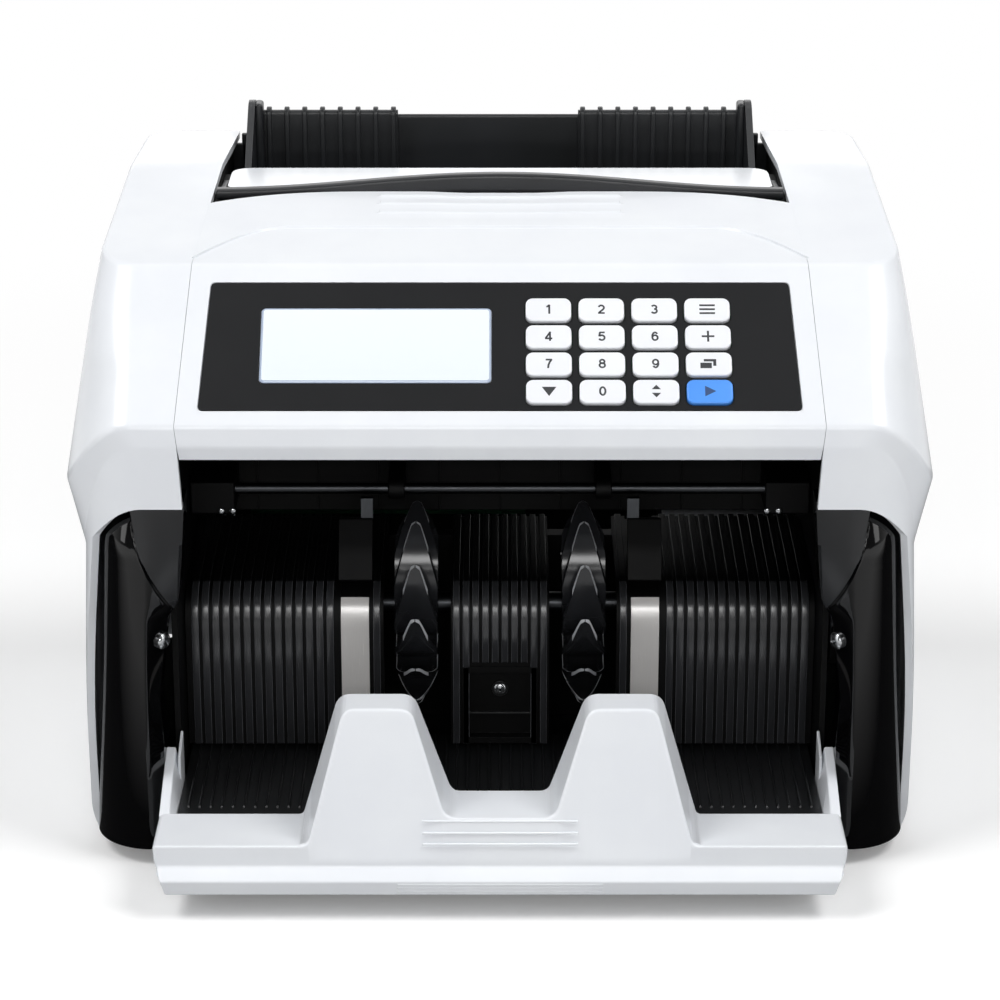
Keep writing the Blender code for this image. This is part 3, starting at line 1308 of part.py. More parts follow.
def make_hopper_guide(name, side, inner, material):
    """Sliding guide: ribbed plate with an ear that borders the notes."""
    comb = rib_steps(inner, EAR_IN + GAP, HOPPER_RIB_PITCH, HOPPER_RIB_WIDTH, HOPPER_RIB_RISE)
    path = [(GUIDE_PLATE_FRONT, GUIDE_PLATE_LOW_Z), (GUIDE_PLATE_FRONT, GUIDE_PLATE_TOP_Z)]
    plate_rear = BACK_PLATE_BACK - GAP
    guide = ribbed_wall(name, comb, path, plate_rear - GUIDE_PLATE_FRONT, material, side)
    low = bed_height(EAR_FRONT_BACK) + EAR_FLOOR_CLEAR
    bed_end = BED_REAR_BACK + FIT
    crest_front = plate_rear - EAR_CREST_DROP - EAR_CREST
    ear = [
        (EAR_FRONT_BACK, low, EAR_FOOT_OUT),
        (bed_end, bed_height(bed_end) + EAR_FLOOR_CLEAR, EAR_REAR_OUT),
        (bed_end, GUIDE_PLATE_LOW_Z, EAR_REAR_OUT),
        (plate_rear, GUIDE_PLATE_LOW_Z, EAR_REAR_OUT),
        (plate_rear, EAR_TOP_Z - EAR_CREST_DROP, EAR_TOP_OUT),
        (plate_rear - EAR_CREST_DROP, EAR_TOP_Z, EAR_TOP_OUT),
        (crest_front, EAR_TOP_Z, EAR_TOP_OUT),
        (EAR_FRONT_BACK, EAR_FRONT_Z, EAR_FOOT_OUT),
    ]
    inner_ring = [(side * EAR_IN, back(setback), z) for setback, z, x in ear]
    outer_ring = [(side * x, back(setback), z) for setback, z, x in ear]
    parts = [place("ear", loft([inner_ring, outer_ring]), material)]
    return fuse(guide, parts)


def make_hopper(materials):
    """Lip, frame, back plate and the two sliding guides."""
    prism("hopper_lip", lip_outline(), "Z", LIP_TOP_Z - WALL, LIP_TOP_Z, materials["white"])
    make_hopper_frame(materials["black"])
    plate = box("hopper_back_plate", (-BACK_PLATE_HALF, BACK_PLATE_BACK, BACK_PLATE_LOW_Z),
                (BACK_PLATE_HALF, BACK_PLATE_BACK + WALL, BACK_PLATE_TOP_Z), materials["black"])
    foot_z = FRAME_FOOT_Z + WALL
    wings = []
    for half, top in ((BACK_SHOULDER_HALF, BACK_SHOULDER_Z), (BACK_SKIRT_HALF, BACK_SKIRT_Z)):
        wings.append(box("shoulder", (-half, BACK_PLATE_BACK, BACK_PLATE_LOW_Z),
                         (half, BACK_PLATE_BACK + WALL, top), materials["black"]))
    for side in (-1, 1):
        low, high = sorted((side * (BACK_PLATE_HALF - WALL), side * (PLATE_IN - GAP)))
        wings.append(box("wing", (low, BACK_PLATE_BACK, foot_z),
                         (high, BACK_PLATE_BACK + WALL, foot_z + WING_HEIGHT), materials["black"]))
    fuse(plate, wings)
    make_hopper_guide("left_hopper_guide", -1, HOPPER_LEFT_IN, materials["black"])
    make_hopper_guide("right_hopper_guide", 1, HOPPER_RIGHT_IN, materials["black"])


def make_handle(material):
    """Arched bar with two arms and stub pins."""
    rings = []
    for step in range(BAR_STEPS + 1):
        share = step / BAR_STEPS
        x = blend(-BAR_HALF, BAR_HALF, share)
        arch = BAR_ARCH * math.sin(math.pi * share) ** 2
        low = BAR_LOW_Z + arch
        high = low + BAR_THICK
        rear = BAR_FRONT_BACK + BAR_DEEP
        rings.append([(x, back(BAR_FRONT_BACK), low), (x, back(rear), low),
                      (x, back(rear), high), (x, back(BAR_FRONT_BACK), high)])
    handle = place("carry_handle", loft(rings), material)
    eye = [(PIVOT_BACK + along, PIVOT_Z + up) for along, up in circle(ARM_EYE, 6, -QUARTER, QUARTER)]
    arm = eye + [(BAR_FRONT_BACK, BAR_LOW_Z + BAR_THICK), (BAR_FRONT_BACK, BAR_LOW_Z)]
    parts = []
    for side in (-1, 1):
        parts.append(prism("arm", arm, "X", side * ARM_IN, side * ARM_OUT, material))
        parts.append(bore("pin", PIVOT_BACK, PIVOT_Z, PIVOT_RADIUS,
                          *sorted((side * (ARM_OUT - GAP), side * FRAME_CHEEK_OUT)), 12))
    fuse(handle, parts)
    return set_pivot(handle, PIVOT_BACK, PIVOT_Z)


def make_rear_cover(material):
    """Rear cover with vents and openings for the mains inlet and the switch."""
    half = PARTING_REAR_X - GAP
    foot = PAN_Z + GAP
    shape = bmesh.new()
    profile = [(REAR_COVER_BACK, foot), (REAR_COVER_BACK, REAR_COVER_TOP_Z),
               (REAR_COVER_LIP_BACK, REAR_COVER_LIP_Z)]
    rows = [[shape.verts.new((x, back(setback), z)) for x in (-half, half)] for setback, z in profile]
    for one, two in zip(rows, rows[1:]):
        shape.faces.new((one[0], one[1], two[1], two[0]))
    cover = place("rear_cover", shape, material)
    thicken(cover, WALL, (0.0, back(KNEE_BACK), MAIN_LOW_Z))
    front = REAR_COVER_BACK - WALL - CUT
    rear = REAR_COVER_BACK + CUT
    cuts = []
    for index in range(VENT_COUNT):
        middle = VENT_X + VENT_PITCH * (index - (VENT_COUNT - 1) / 2)
        cuts.append(box("vent", (middle - VENT_WIDTH / 2, front, VENT_LOW_Z),
                        (middle + VENT_WIDTH / 2, rear, VENT_HIGH_Z), None))
    cuts.append(box("inlet", (INLET_X - INLET_HALF_X - GAP, front, INLET_Z - INLET_HALF_Z - GAP),
                    (INLET_X + INLET_HALF_X + GAP, rear, INLET_Z + INLET_HALF_Z + GAP), None))
    rocker_z = ROCKER_ROUND + ROCKER_CLEAR
    cuts.append(box("rocker", (ROCKER_X - ROCKER_HALF_X - GAP, front, INLET_Z - rocker_z),
                    (ROCKER_X + ROCKER_HALF_X + GAP, rear, INLET_Z + rocker_z), None))
    return carve(cover, [fuse_loose(cuts)])


def make_inlet(material):
    """Mains socket: a block with a cavity and three blades."""
    face = REAR_COVER_BACK
    inlet = box("mains_inlet", (INLET_X - INLET_HALF_X, face - INLET_DEEP, INLET_Z - INLET_HALF_Z),
                (INLET_X + INLET_HALF_X, face, INLET_Z + INLET_HALF_Z), material)
    flange_rear = face - WALL - GAP
    flange = box("flange", (INLET_X - INLET_HALF_X - INLET_FLANGE, flange_rear - INLET_FLANGE,
                            INLET_Z - INLET_HALF_Z - INLET_FLANGE),
                 (INLET_X + INLET_HALF_X + INLET_FLANGE, flange_rear,
                  INLET_Z + INLET_HALF_Z + INLET_FLANGE), material)
    fuse(inlet, [flange])
    cavity_front = face - INLET_CAVITY_DEEP
    carve(inlet, [box("cut_cavity", (INLET_X - INLET_CAVITY_X, cavity_front, INLET_Z - INLET_CAVITY_Z),
                      (INLET_X + INLET_CAVITY_X, face + CUT, INLET_Z + INLET_CAVITY_Z), None)])
    pins = []
    for place_x, rise in ((-INLET_PIN_X, 0.0), (0.0, INLET_EARTH_RISE), (INLET_PIN_X, 0.0)):
        middle = INLET_X + place_x
        pins.append(box("blade", (middle - INLET_PIN_HALF_X, cavity_front - WALL / 2,
                                  INLET_Z + rise - INLET_PIN_HALF_Z),
                        (middle + INLET_PIN_HALF_X, face - WALL, INLET_Z + rise + INLET_PIN_HALF_Z), material))
    return fuse(inlet, pins)


def make_rocker(material):
    """Rocker with a notched face; it lies tilted at rest."""
    arc = [(ROCKER_ROUND * math.sin(math.radians(turn)), ROCKER_ROUND * math.cos(math.radians(turn)))
           for turn in (12.0, -8.0)]
    upper = [(ROCKER_CORNER, ROCKER_HALF_Z)] + arc + [(-ROCKER_HEEL, ROCKER_HALF_Z / 2)]
    outline = [(ROCKER_NOTCH, 0.0)] + upper + [(u, -w) for u, w in reversed(upper)]
    tilt = math.radians(-ROCKER_TILT)
    turned_points = [(u * math.cos(tilt) - w * math.sin(tilt), u * math.sin(tilt) + w * math.cos(tilt))
                     for u, w in outline]
    points = [(ROCKER_PIVOT_BACK + u, INLET_Z + w) for u, w in turned_points]
    rocker = prism("power_rocker", points, "X", ROCKER_X - ROCKER_HALF_X, ROCKER_X + ROCKER_HALF_X, material)
    return set_pivot(rocker, ROCKER_PIVOT_BACK, INLET_Z, ROCKER_X)


def make_boards(materials):
    """Power supply on the base pan and main board on posts from the rear cover."""
    floor = PAN_Z + STEEL + GAP
    supply = box("power_supply", (PSU_LEFT, PSU_FRONT_BACK, PSU_BOARD_Z),
                 (PSU_RIGHT, PSU_REAR_BACK, PSU_BOARD_Z + BOARD_THICK), materials["board"])
    top = PSU_BOARD_Z + BOARD_THICK / 2
    coil_x = (PSU_LEFT + PSU_RIGHT) / 2
    coil_back = (PSU_FRONT_BACK + PSU_REAR_BACK) / 2
    parts = [
        box("coil", (coil_x, coil_back - PSU_COIL / 2, top),
            (coil_x + PSU_COIL, coil_back + PSU_COIL / 2, top + PSU_COIL_HEIGHT), materials["board"]),
        box("sink", (PSU_LEFT + PSU_INSET, PSU_FRONT_BACK + PSU_INSET, top),
            (PSU_LEFT + PSU_INSET + PSU_SINK_THICK, PSU_REAR_BACK - PSU_INSET, top + PSU_SINK_HEIGHT),
            materials["board"]),
    ]
    for x in (PSU_LEFT + PSU_INSET, PSU_RIGHT - PSU_INSET):
        for setback in (PSU_FRONT_BACK + PSU_INSET, PSU_REAR_BACK - PSU_INSET):
            parts.append(box("post", (x - MAIN_POST, setback - MAIN_POST, floor),
                             (x + MAIN_POST, setback + MAIN_POST, top), materials["board"]))
    fuse(supply, parts)
    board = box("main_board", (MAIN_LEFT, MAIN_BACK, MAIN_LOW_Z),
                (MAIN_RIGHT, MAIN_BACK + BOARD_THICK, MAIN_HIGH_Z), materials["board"])
    middle = MAIN_BACK + BOARD_THICK / 2
    wall = REAR_COVER_BACK - WALL - GAP
    posts = []
    for x in (MAIN_LEFT + PSU_INSET, MAIN_RIGHT - PSU_INSET):
        for z in (MAIN_LOW_Z + PSU_INSET, MAIN_HIGH_Z - PSU_INSET):
            posts.append(box("post", (x - MAIN_POST, middle, z - MAIN_POST),
                             (x + MAIN_POST, wall, z + MAIN_POST), materials["board"]))
    chip_x = (MAIN_LEFT + MAIN_RIGHT) / 2
    chip_z = (MAIN_LOW_Z + MAIN_HIGH_Z) / 2
    posts.append(box("chip", (chip_x - MAIN_CHIP / 2, MAIN_BACK - MAIN_CHIP_THICK, chip_z - MAIN_CHIP / 2),
                     (chip_x + MAIN_CHIP / 2, middle, chip_z + MAIN_CHIP / 2), materials["board"]))
    fuse(board, posts)


def group_bodies():
    """Parent every piece: fixed ones to the counter, moving ones to an empty on their joint."""
    root = bpy.data.objects.new("banknote_counter", None)
    bpy.context.collection.objects.link(root)
    axes = {"impeller_axis": ("impeller_shaft", "left_impeller", "right_impeller")}
    owner = {}
    for axis, names in axes.items():
        empty = bpy.data.objects.new(axis, None)
        empty.location = (0.0, back(IMPELLER_BACK), IMPELLER_Z)
        bpy.context.collection.objects.link(empty)
        empty.parent = root
        for name in names:
            owner[name] = empty
    bpy.context.view_layer.update()
    for thing in list(bpy.data.objects):
        if thing.type != "MESH":
            continue
        parent = owner.get(thing.name, root)
        thing.parent = parent
        thing.matrix_parent_inverse = parent.matrix_world.inverted()


def build():
    for thing in list(bpy.data.objects):
        bpy.data.objects.remove(thing)
    materials = make_materials()
    make_base(materials)
    make_side_cover("left_side_cover", -1, materials["white"])
    make_side_cover("right_side_cover", 1, materials["white"])
    make_front_cover(materials["white"])
    make_rear_cover(materials["white"])
    make_panel(materials)
    for row, names in enumerate(KEY_NAMES):
        for column, name in enumerate(names):
            finish = materials["blue"] if name == "key_start" else materials["key"]
            make_key(name, row, column, finish)
    make_corner_panel("left_corner_panel", -1, materials["gloss"])
    make_corner_panel("right_corner_panel", 1, materials["gloss"])
    make_tray(materials["white"])
    make_stacker_floor(materials["black"])
    make_back_guide("left_back_guide", -1, materials["black"])
    make_back_guide("right_back_guide", 1, materials["black"])
    make_centre_guide(materials["black"])
    make_steel_strip("left_steel_strip", -1, materials["steel"])
    make_steel_strip("right_steel_strip", 1, materials["steel"])
    make_upper_guide(materials["black"])
    turned("guide_shaft", [(-GUIDE_SHAFT_HALF, GUIDE_SHAFT_RADIUS), (GUIDE_SHAFT_HALF, GUIDE_SHAFT_RADIUS)],
           GUIDE_SHAFT_BACK, GUIDE_SHAFT_Z, materials["plate"], steps=12)
    make_frame_plate("left_frame_plate", -1, materials["plate"])
    make_frame_plate("right_frame_plate", 1, materials["plate"])
    make_turning_parts(materials)
    make_motor(materials["steel"])
    make_belt(materials["rubber"])
    make_hopper(materials)
    make_handle(materials["grey"])
    make_inlet(materials["black"])
    make_rocker(materials["black"])
    make_boards(materials)
    group_bodies()


build()
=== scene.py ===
import json
import math

import bmesh
import bpy
from mathutils import Matrix, Vector

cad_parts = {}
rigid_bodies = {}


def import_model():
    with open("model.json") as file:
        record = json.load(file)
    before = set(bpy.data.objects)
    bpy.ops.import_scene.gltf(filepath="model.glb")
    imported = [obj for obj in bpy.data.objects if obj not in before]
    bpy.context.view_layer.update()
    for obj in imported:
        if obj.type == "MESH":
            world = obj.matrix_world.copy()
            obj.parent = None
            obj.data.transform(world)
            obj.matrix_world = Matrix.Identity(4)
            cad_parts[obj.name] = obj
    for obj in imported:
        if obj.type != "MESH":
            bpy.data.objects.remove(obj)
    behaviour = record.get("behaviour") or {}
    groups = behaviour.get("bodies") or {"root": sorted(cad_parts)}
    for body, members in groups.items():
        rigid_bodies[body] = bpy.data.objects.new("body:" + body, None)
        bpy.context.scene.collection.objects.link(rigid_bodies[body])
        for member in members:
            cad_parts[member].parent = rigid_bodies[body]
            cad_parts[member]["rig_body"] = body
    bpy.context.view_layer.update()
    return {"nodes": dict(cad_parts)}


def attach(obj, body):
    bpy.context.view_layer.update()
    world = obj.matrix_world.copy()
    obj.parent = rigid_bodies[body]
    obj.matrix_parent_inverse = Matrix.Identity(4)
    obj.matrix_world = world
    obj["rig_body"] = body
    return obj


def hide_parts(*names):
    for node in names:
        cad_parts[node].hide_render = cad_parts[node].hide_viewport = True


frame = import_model()

mm = 0.001
noseToZero = 79.0  # the frame's Y zero lies this many mm behind the nose


# Sizes below are in mm: X to the right, setback behind the nose, Z up from the table.
def at(x, setback, z):
    return Vector((x, setback - noseToZero, z)) * mm


def between(low, high, share):
    return low + (high - low) * share


def readOff(value, table):
    # straight lines between the table's (place, result) pairs
    for (a, one), (b, two) in zip(table, table[1:]):
        if value <= b:
            return between(one, two, min(max((value - a) / (b - a), 0.0), 1.0))
    return table[-1][1]


def softPath(points, cuts, steps=5):
    # each inner corner becomes a small curve that starts and ends a cut away from it
    spots = [Vector(point) for point in points]
    made = [spots[0]]
    for before, here, after, cut in zip(spots, spots[1:], spots[2:], cuts):
        into = here + (before - here).normalized() * min(cut, (before - here).length * 0.48)
        away = here + (after - here).normalized() * min(cut, (after - here).length * 0.48)
        for step in range(steps + 1):
            share = step / steps
            made.append(into.lerp(here, share).lerp(here.lerp(away, share), share))
    made.append(spots[-1])
    return made


def roundedBox(left, low, right, high, radius, steps=6):
    # rectangle with round corners, anticlockwise
    points = []
    corners = ((right - radius, high - radius), (left + radius, high - radius),
               (left + radius, low + radius), (right - radius, low + radius))
    for turn, (centreX, centreY) in enumerate(corners):
        for step in range(steps + 1):
            angle = math.pi / 2 * (turn + step / steps)
            points.append((centreX + radius * math.cos(angle), centreY + radius * math.sin(angle)))
    return points


def circlePoints(radius, steps):
    return [(radius * math.cos(math.tau * i / steps), radius * math.sin(math.tau * i / steps))
            for i in range(steps)]


def sheetOf(rows):
    # open surface through rows of points
    shape = bmesh.new()
    made = [[shape.verts.new(point) for point in row] for row in rows]
    for one, two in zip(made, made[1:]):
        for i in range(len(one) - 1):
            shape.faces.new((one[i], one[i + 1], two[i + 1], two[i]))
    return shape


def loftOf(rings, capped=True, shape=None):
    # closed body through rings that each run once round
    shape = shape or bmesh.new()
    made = [[shape.verts.new(point) for point in ring] for ring in rings]
    fresh = []
    for one, two in zip(made, made[1:]):
        for i in range(len(one)):
            j = (i + 1) % len(one)
            fresh.append(shape.faces.new((one[i], one[j], two[j], two[i])))
    if capped:
        fresh.append(shape.faces.new(made[0]))
        fresh.append(shape.faces.new(made[-1]))
    bmesh.ops.recalc_face_normals(shape, faces=fresh)
    return shape


def bake(piece):
    # what the modifiers do becomes the mesh itself
    graph = bpy.context.evaluated_depsgraph_get()
    mesh = bpy.data.meshes.new_from_object(piece.evaluated_get(graph))
    piece.modifiers.clear()
    piece.data = mesh
    return piece


def rawPiece(name, shape, finish=None):
    bmesh.ops.remove_doubles(shape, verts=shape.verts, dist=0.002 * mm)
    mesh = bpy.data.meshes.new(name)
    shape.to_mesh(mesh)
    shape.free()
    piece = bpy.data.objects.new(name, mesh)
    bpy.context.scene.collection.objects.link(piece)
    if finish:
        mesh.materials.append(finish)
    return piece


def softenEdges(piece, width, angle, segments=3):
    # small round on every edge that is sharper than the angle, then even shading
    if width:
        edge = piece.modifiers.new("edge", "BEVEL")
        edge.width = width * mm
        edge.segments = segments
        edge.limit_method = "ANGLE"
        edge.angle_limit = math.radians(angle)
        edge.use_clamp_overlap = True
        edge.miter_outer = "MITER_ARC"
        bake(piece)
    piece.data.shade_smooth()
    piece.data.set_sharp_from_angle(angle=math.radians(angle))
    even = piece.modifiers.new("even", "WEIGHTED_NORMAL")
    even.keep_sharp = True
    even.weight = 90
    return bake(piece)


def evenShade(piece, angle=40):
    piece.data.shade_smooth()
    piece.data.set_sharp_from_angle(angle=math.radians(angle))
    for face in piece.data.polygons:
        if len(face.vertices) > 8:
            face.use_smooth = False  # a wide flat end keeps its own normal
    return piece


def thicken(piece, wall, offset=-1):
    # an open surface becomes a wall of that many mm, to its inner side with -1
    shell = piece.modifiers.new("wall", "SOLIDIFY")
    shell.thickness = wall * mm
    shell.offset = offset
    return bake(piece)


def faceUp(shape):
    # even normals, turned so that the largest face looks up
    bmesh.ops.recalc_face_normals(shape, faces=shape.faces)
    shape.faces.ensure_lookup_table()
    if max(shape.faces, key=lambda face: face.calc_area()).normal.z < 0:
        bmesh.ops.reverse_faces(shape, faces=shape.faces)


def carve(piece, cutters, operation="DIFFERENCE"):
    for cutter in cutters:
        cut = piece.modifiers.new("cut", "BOOLEAN")
        cut.operation = operation
        cut.solver = "EXACT"
        cut.object = cutter
    bake(piece)
    for cutter in cutters:
        bpy.data.objects.remove(cutter)
    return piece


def joinInto(piece, others):
    # one mesh from several, with their materials
    shape = bmesh.new()
    finishes = list(piece.data.materials)
    for thing in [piece] + others:
        start = len(shape.faces)
        shape.from_mesh(thing.data)
        shape.faces.ensure_lookup_table()
        for finish in thing.data.materials:
            if finish not in finishes:
                finishes.append(finish)
        for face in shape.faces[start:]:
            if len(thing.data.materials):
                face.material_index = finishes.index(thing.data.materials[face.material_index])
    mesh = bpy.data.meshes.new(piece.name)
    shape.to_mesh(mesh)
    shape.free()
    for finish in finishes:
        mesh.materials.append(finish)
    piece.data = mesh
    for thing in others:
        bpy.data.objects.remove(thing)
    return piece


def mount(piece, body="counter", standsFor=()):
    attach(piece, body)
    if standsFor:
        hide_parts(*([standsFor] if isinstance(standsFor, str) else standsFor))
    return piece


def block(name, low, high, finish=None):
    # box between two corners given as X, setback, Z; the two X may come in either order
    left, right = sorted((low[0], high[0]))
    rings = [[at(x, y, z) for x, y in ((left, low[1]), (right, low[1]), (right, high[1]), (left, high[1]))]
             for z in (low[2], high[2])]
    return rawPiece(name, loftOf(rings), finish)


def sideBlock(name, side, low, high, finish):
    # box on one side of the counter; its corners are given for the right side
    return block(name, (side * low[0], *low[1:]), (side * high[0], *high[1:]), finish)


def slab(name, outline, places, finish, side=1):
    # plate with its outline in setback and Z, between two X places
    rings = [[at(side * x, y, z) for y, z in outline] for x in places]
    return rawPiece(name, loftOf(rings), finish)


# Finishes

def linear(hexText):
    # sRGB hex to the linear colour that the shaders take
    values = [int(hexText[i:i + 2], 16) / 255 for i in (1, 3, 5)]
    return tuple(v / 12.92 if v <= 0.04045 else ((v + 0.055) / 1.055) ** 2.4 for v in values) + (1.0,)


def addNode(tree, kind, settings=None, links=None):
    # settings: socket or property to value; links: input to (node, output)
    node = tree.nodes.new(kind)
    for key, value in (settings or {}).items():
        if isinstance(key, str) and hasattr(node, key):
            setattr(node, key, value)
        else:
            node.inputs[key].default_value = value
    for key, (source, output) in (links or {}).items():
        tree.links.new(source.outputs[output], node.inputs[key])
    return node


def newFinish(name, **sockets):
    finish = bpy.data.materials.new(name)
    finish.use_nodes = True
    shader = finish.node_tree.nodes["Principled BSDF"]
    for key, value in sockets.items():
        shader.inputs[key.replace("_", " ")].default_value = value
    return finish, finish.node_tree, shader


def noise(tree, place, size, detail, roughness=0.5):
    # cloudy pattern whose spots are about size mm wide
    return addNode(tree, "ShaderNodeTexNoise",
                   {"Scale": 1 / (size * mm), "Detail": detail, "Roughness": roughness}, {"Vector": place})


def shadeRamp(tree, source, dark, light, low=0.0, high=1.0):
    # colour from dark to light while the source runs from low to high
    ramp = addNode(tree, "ShaderNodeValToRGB", {}, {"Fac": source})
    for stop, place, tone in zip(ramp.color_ramp.elements, (low, high), (dark, light)):
        stop.position = place
        stop.color = linear(tone)
    return ramp


def wireShader(tree, shader, tint, gloss, rough, skin, bump, depth):
    # colour, roughness between the two values of rough, and a relief up to depth mm
    span = addNode(tree, "ShaderNodeMapRange", {"To Min": rough[0], "To Max": rough[1]}, {"Value": gloss})
    relief = addNode(tree, "ShaderNodeBump", {"Strength": bump, "Distance": depth * mm}, {"Height": skin})
    tree.links.new(tint.outputs["Color"], shader.inputs["Base Color"])
    tree.links.new(span.outputs["Result"], shader.inputs["Roughness"])
    tree.links.new(relief.outputs["Normal"], shader.inputs["Normal"])


patternSizes = {
    "cloud": 35.0,   # flow marks in the colour
    "wear": 9.0,     # patches that are a little more or less glossy
    "grainDeep": 0.02,
    "streakDeep": 0.01,
}


def mouldedFinish(name, light, dark, roughness, grain, bump, spread=0.04, **sockets):
    # injection-moulded plastic: faint cloudy flow in the colour, gloss that varies a little,
    # and the fine grain of the mould (grain is its size in mm)
    finish, tree, shader = newFinish(name, **sockets)
    place = (addNode(tree, "ShaderNodeTexCoord"), "Object")
    flow = noise(tree, place, patternSizes["cloud"], 3.0, 0.55)
    tint = shadeRamp(tree, (flow, "Fac"), dark, light, 0.35, 0.65)
    wear = noise(tree, place, patternSizes["wear"], 4.0)
    skin = noise(tree, place, grain, 2.0)
    wireShader(tree, shader, tint, (wear, "Fac"), (roughness - spread, roughness + spread),
               (skin, "Fac"), bump, patternSizes["grainDeep"])
    return finish


def brushedFinish(name, light, dark, roughness, stretch, strand, metal=1.0):
    # metal rubbed one way: streaks strand mm wide, drawn out along the axes with a small stretch
    finish, tree, shader = newFinish(name, Metallic=metal)
    place = addNode(tree, "ShaderNodeTexCoord")
    turn = addNode(tree, "ShaderNodeMapping", {"Scale": stretch}, {"Vector": (place, "Object")})
    streak = (noise(tree, (turn, "Vector"), strand, 5.0, 0.6), "Fac")
    tint = shadeRamp(tree, streak, dark, light)
    wireShader(tree, shader, tint, streak, (roughness * 0.8, roughness * 1.3), streak, 0.25,
               patternSizes["streakDeep"])
    return finish


finishes = {
    # glossy white ABS, a trace of blue from its brightener; edges and faces look soft and clean
    "whiteAbs": mouldedFinish("gloss_white_abs", "#F1F4F8", "#EDF0F5", 0.24, 1.2, 0.10, IOR=1.53),
    # textured black ABS of the inner parts; dull sheen, ribs catch thin lights
    "blackAbs": mouldedFinish("satin_black_abs", "#17181A", "#101112", 0.30, 0.35, 0.35, IOR=1.53),
    # ribs of the back guides: satin black, made greyer than the wall behind them as a painted reflection of
    # the lit tray and floor in front
    "ribBlack": mouldedFinish("ribbed_satin_abs_painted_reflection", "#333437", "#2B2C2E", 0.22, 0.35, 0.3, IOR=1.56),
    # the ribs' rounded edges, painted pale as a painted highlight where they would catch the light
    "ribEdgeHighlight": mouldedFinish("rib_edge_painted_highlight", "#6E7074", "#54565A", 0.30, 0.35, 0.2, IOR=1.56),
    # satin flat of the corner panels: satin finish, its lighter grey a painted reflection
    "cornerFlat": mouldedFinish("satin_black_flat_painted_reflection", "#242527", "#202123", 0.22, 3.0, 0.05, 0.03, IOR=1.48),
    # dull near-black for deep faces that hardly reflect: black moulding darkened as painted shade of the
    # pocket and inner parts
    "paintedShadeBlack": mouldedFinish("black_moulding_painted_shade", "#050506", "#040404", 0.55, 0.5, 0.5, IOR=1.40,
                               Specular_IOR_Level=0.25),
    # polished black ABS of the corner panels; mirror-like with a slow wave
    "pianoBlack": mouldedFinish("polished_black_abs", "#060607", "#050506", 0.07, 6.0, 0.05, 0.02, IOR=1.50,
                                Specular_IOR_Level=0.46),
    # matt back-printed polycarbonate film with a fine velvet grain
    "panelFilm": mouldedFinish("velvet_polycarbonate_film", "#161719", "#131416", 0.46, 0.45, 0.9, IOR=1.52,
                               Specular_IOR_Level=0.16),
    # two-shot white key caps, smoother than the case
    "keyWhite": mouldedFinish("white_key_abs", "#F3F5F9", "#EFF1F6", 0.30, 0.8, 0.08, IOR=1.53),
    "keyBlue": mouldedFinish("blue_key_abs", "#569EF9", "#4F97F4", 0.30, 0.8, 0.08, IOR=1.53),
    # dark grey glass-filled nylon of the handle
    "handleGrey": mouldedFinish("grey_glass_nylon", "#26272A", "#202123", 0.34, 0.5, 0.4, IOR=1.50),
    # glossy black acetal of the wheels
    "wheelBlack": mouldedFinish("glossy_black_acetal", "#28292C", "#202123", 0.18, 1.0, 0.12, 0.03, IOR=1.54),
    # its rounded blade edges, painted pale as a painted highlight
    "wheelEdgeHighlight": mouldedFinish("blade_edge_painted_highlight", "#D2D4D8", "#B4B7BC", 0.2, 1.0, 0.1, IOR=1.54),
    # satin black moulding of the hopper, a little greyer where light rakes over it
    "satinBlack": mouldedFinish("satin_black_moulding", "#222427", "#1A1C1E", 0.36, 0.4, 0.45, IOR=1.53),
    # glass-filled black nylon of inlet and rocker
    "blackNylon": mouldedFinish("black_nylon", "#1B1C1D", "#151617", 0.45, 0.5, 0.5, IOR=1.53),
    # nitrile rubber: feet and feed rollers
    "rubber": mouldedFinish("nitrile_rubber", "#2A2A2B", "#202021", 0.75, 0.4, 0.8, IOR=1.52),
    # powder-coated sheet steel: orange-peel skin
    "powderSteel": mouldedFinish("black_powder_coat", "#1B1C1E", "#141516", 0.42, 0.6, 0.7, IOR=1.5),
    # glass-epoxy board under green solder mask
    "board": mouldedFinish("green_solder_mask", "#1F5A38", "#184A2D", 0.38, 0.7, 0.3, IOR=1.55),
    # ink of the key legends
    "ink": mouldedFinish("pad_print_ink", "#2F3135", "#2A2C30", 0.5, 0.3, 0.2, IOR=1.5),
    "inkBlue": mouldedFinish("pad_print_ink_on_blue", "#274A7C", "#223F6C", 0.5, 0.3, 0.2, IOR=1.5),
    # bright rolled steel strip, rubbed along its length (Z); its near-white, mostly diffuse colour is partly
    # a painted reflection of the lit front
    "stripSteel": brushedFinish("rolled_steel_painted_reflection", "#F6F4F2", "#E9E6E3", 0.24, (1.0, 1.0, 0.03), 0.2,
                                metal=0.15),
    # zinc-plated screws and small turned parts
    "zinc": brushedFinish("zinc_plate", "#D6D8DA", "#B2B5B8", 0.22, (1.0, 1.0, 1.0), 0.5),
    # drawn motor can and ground shafts, rubbed round their axis (X)
    "groundSteel": brushedFinish("ground_steel", "#8F9194", "#6F7174", 0.30, (1.0, 0.1, 0.1), 0.3),
    # blackened bars, rubbed along their length (X)
    "darkShaft": brushedFinish("blackened_steel", "#4A4C4F", "#38393B", 0.33, (0.08, 1.0, 1.0), 0.3),
    # bent spring tabs, rubbed along their height (Z)
    "springTab": brushedFinish("spring_steel", "#55575A", "#434548", 0.30, (1.0, 1.0, 0.1), 0.3),
    # ground edge of the display window, a little blue
    "displayEdge": mouldedFinish("acrylic_edge", "#B9C6DB", "#A9B8D0", 0.18, 2.0, 0.05, IOR=1.49),
}


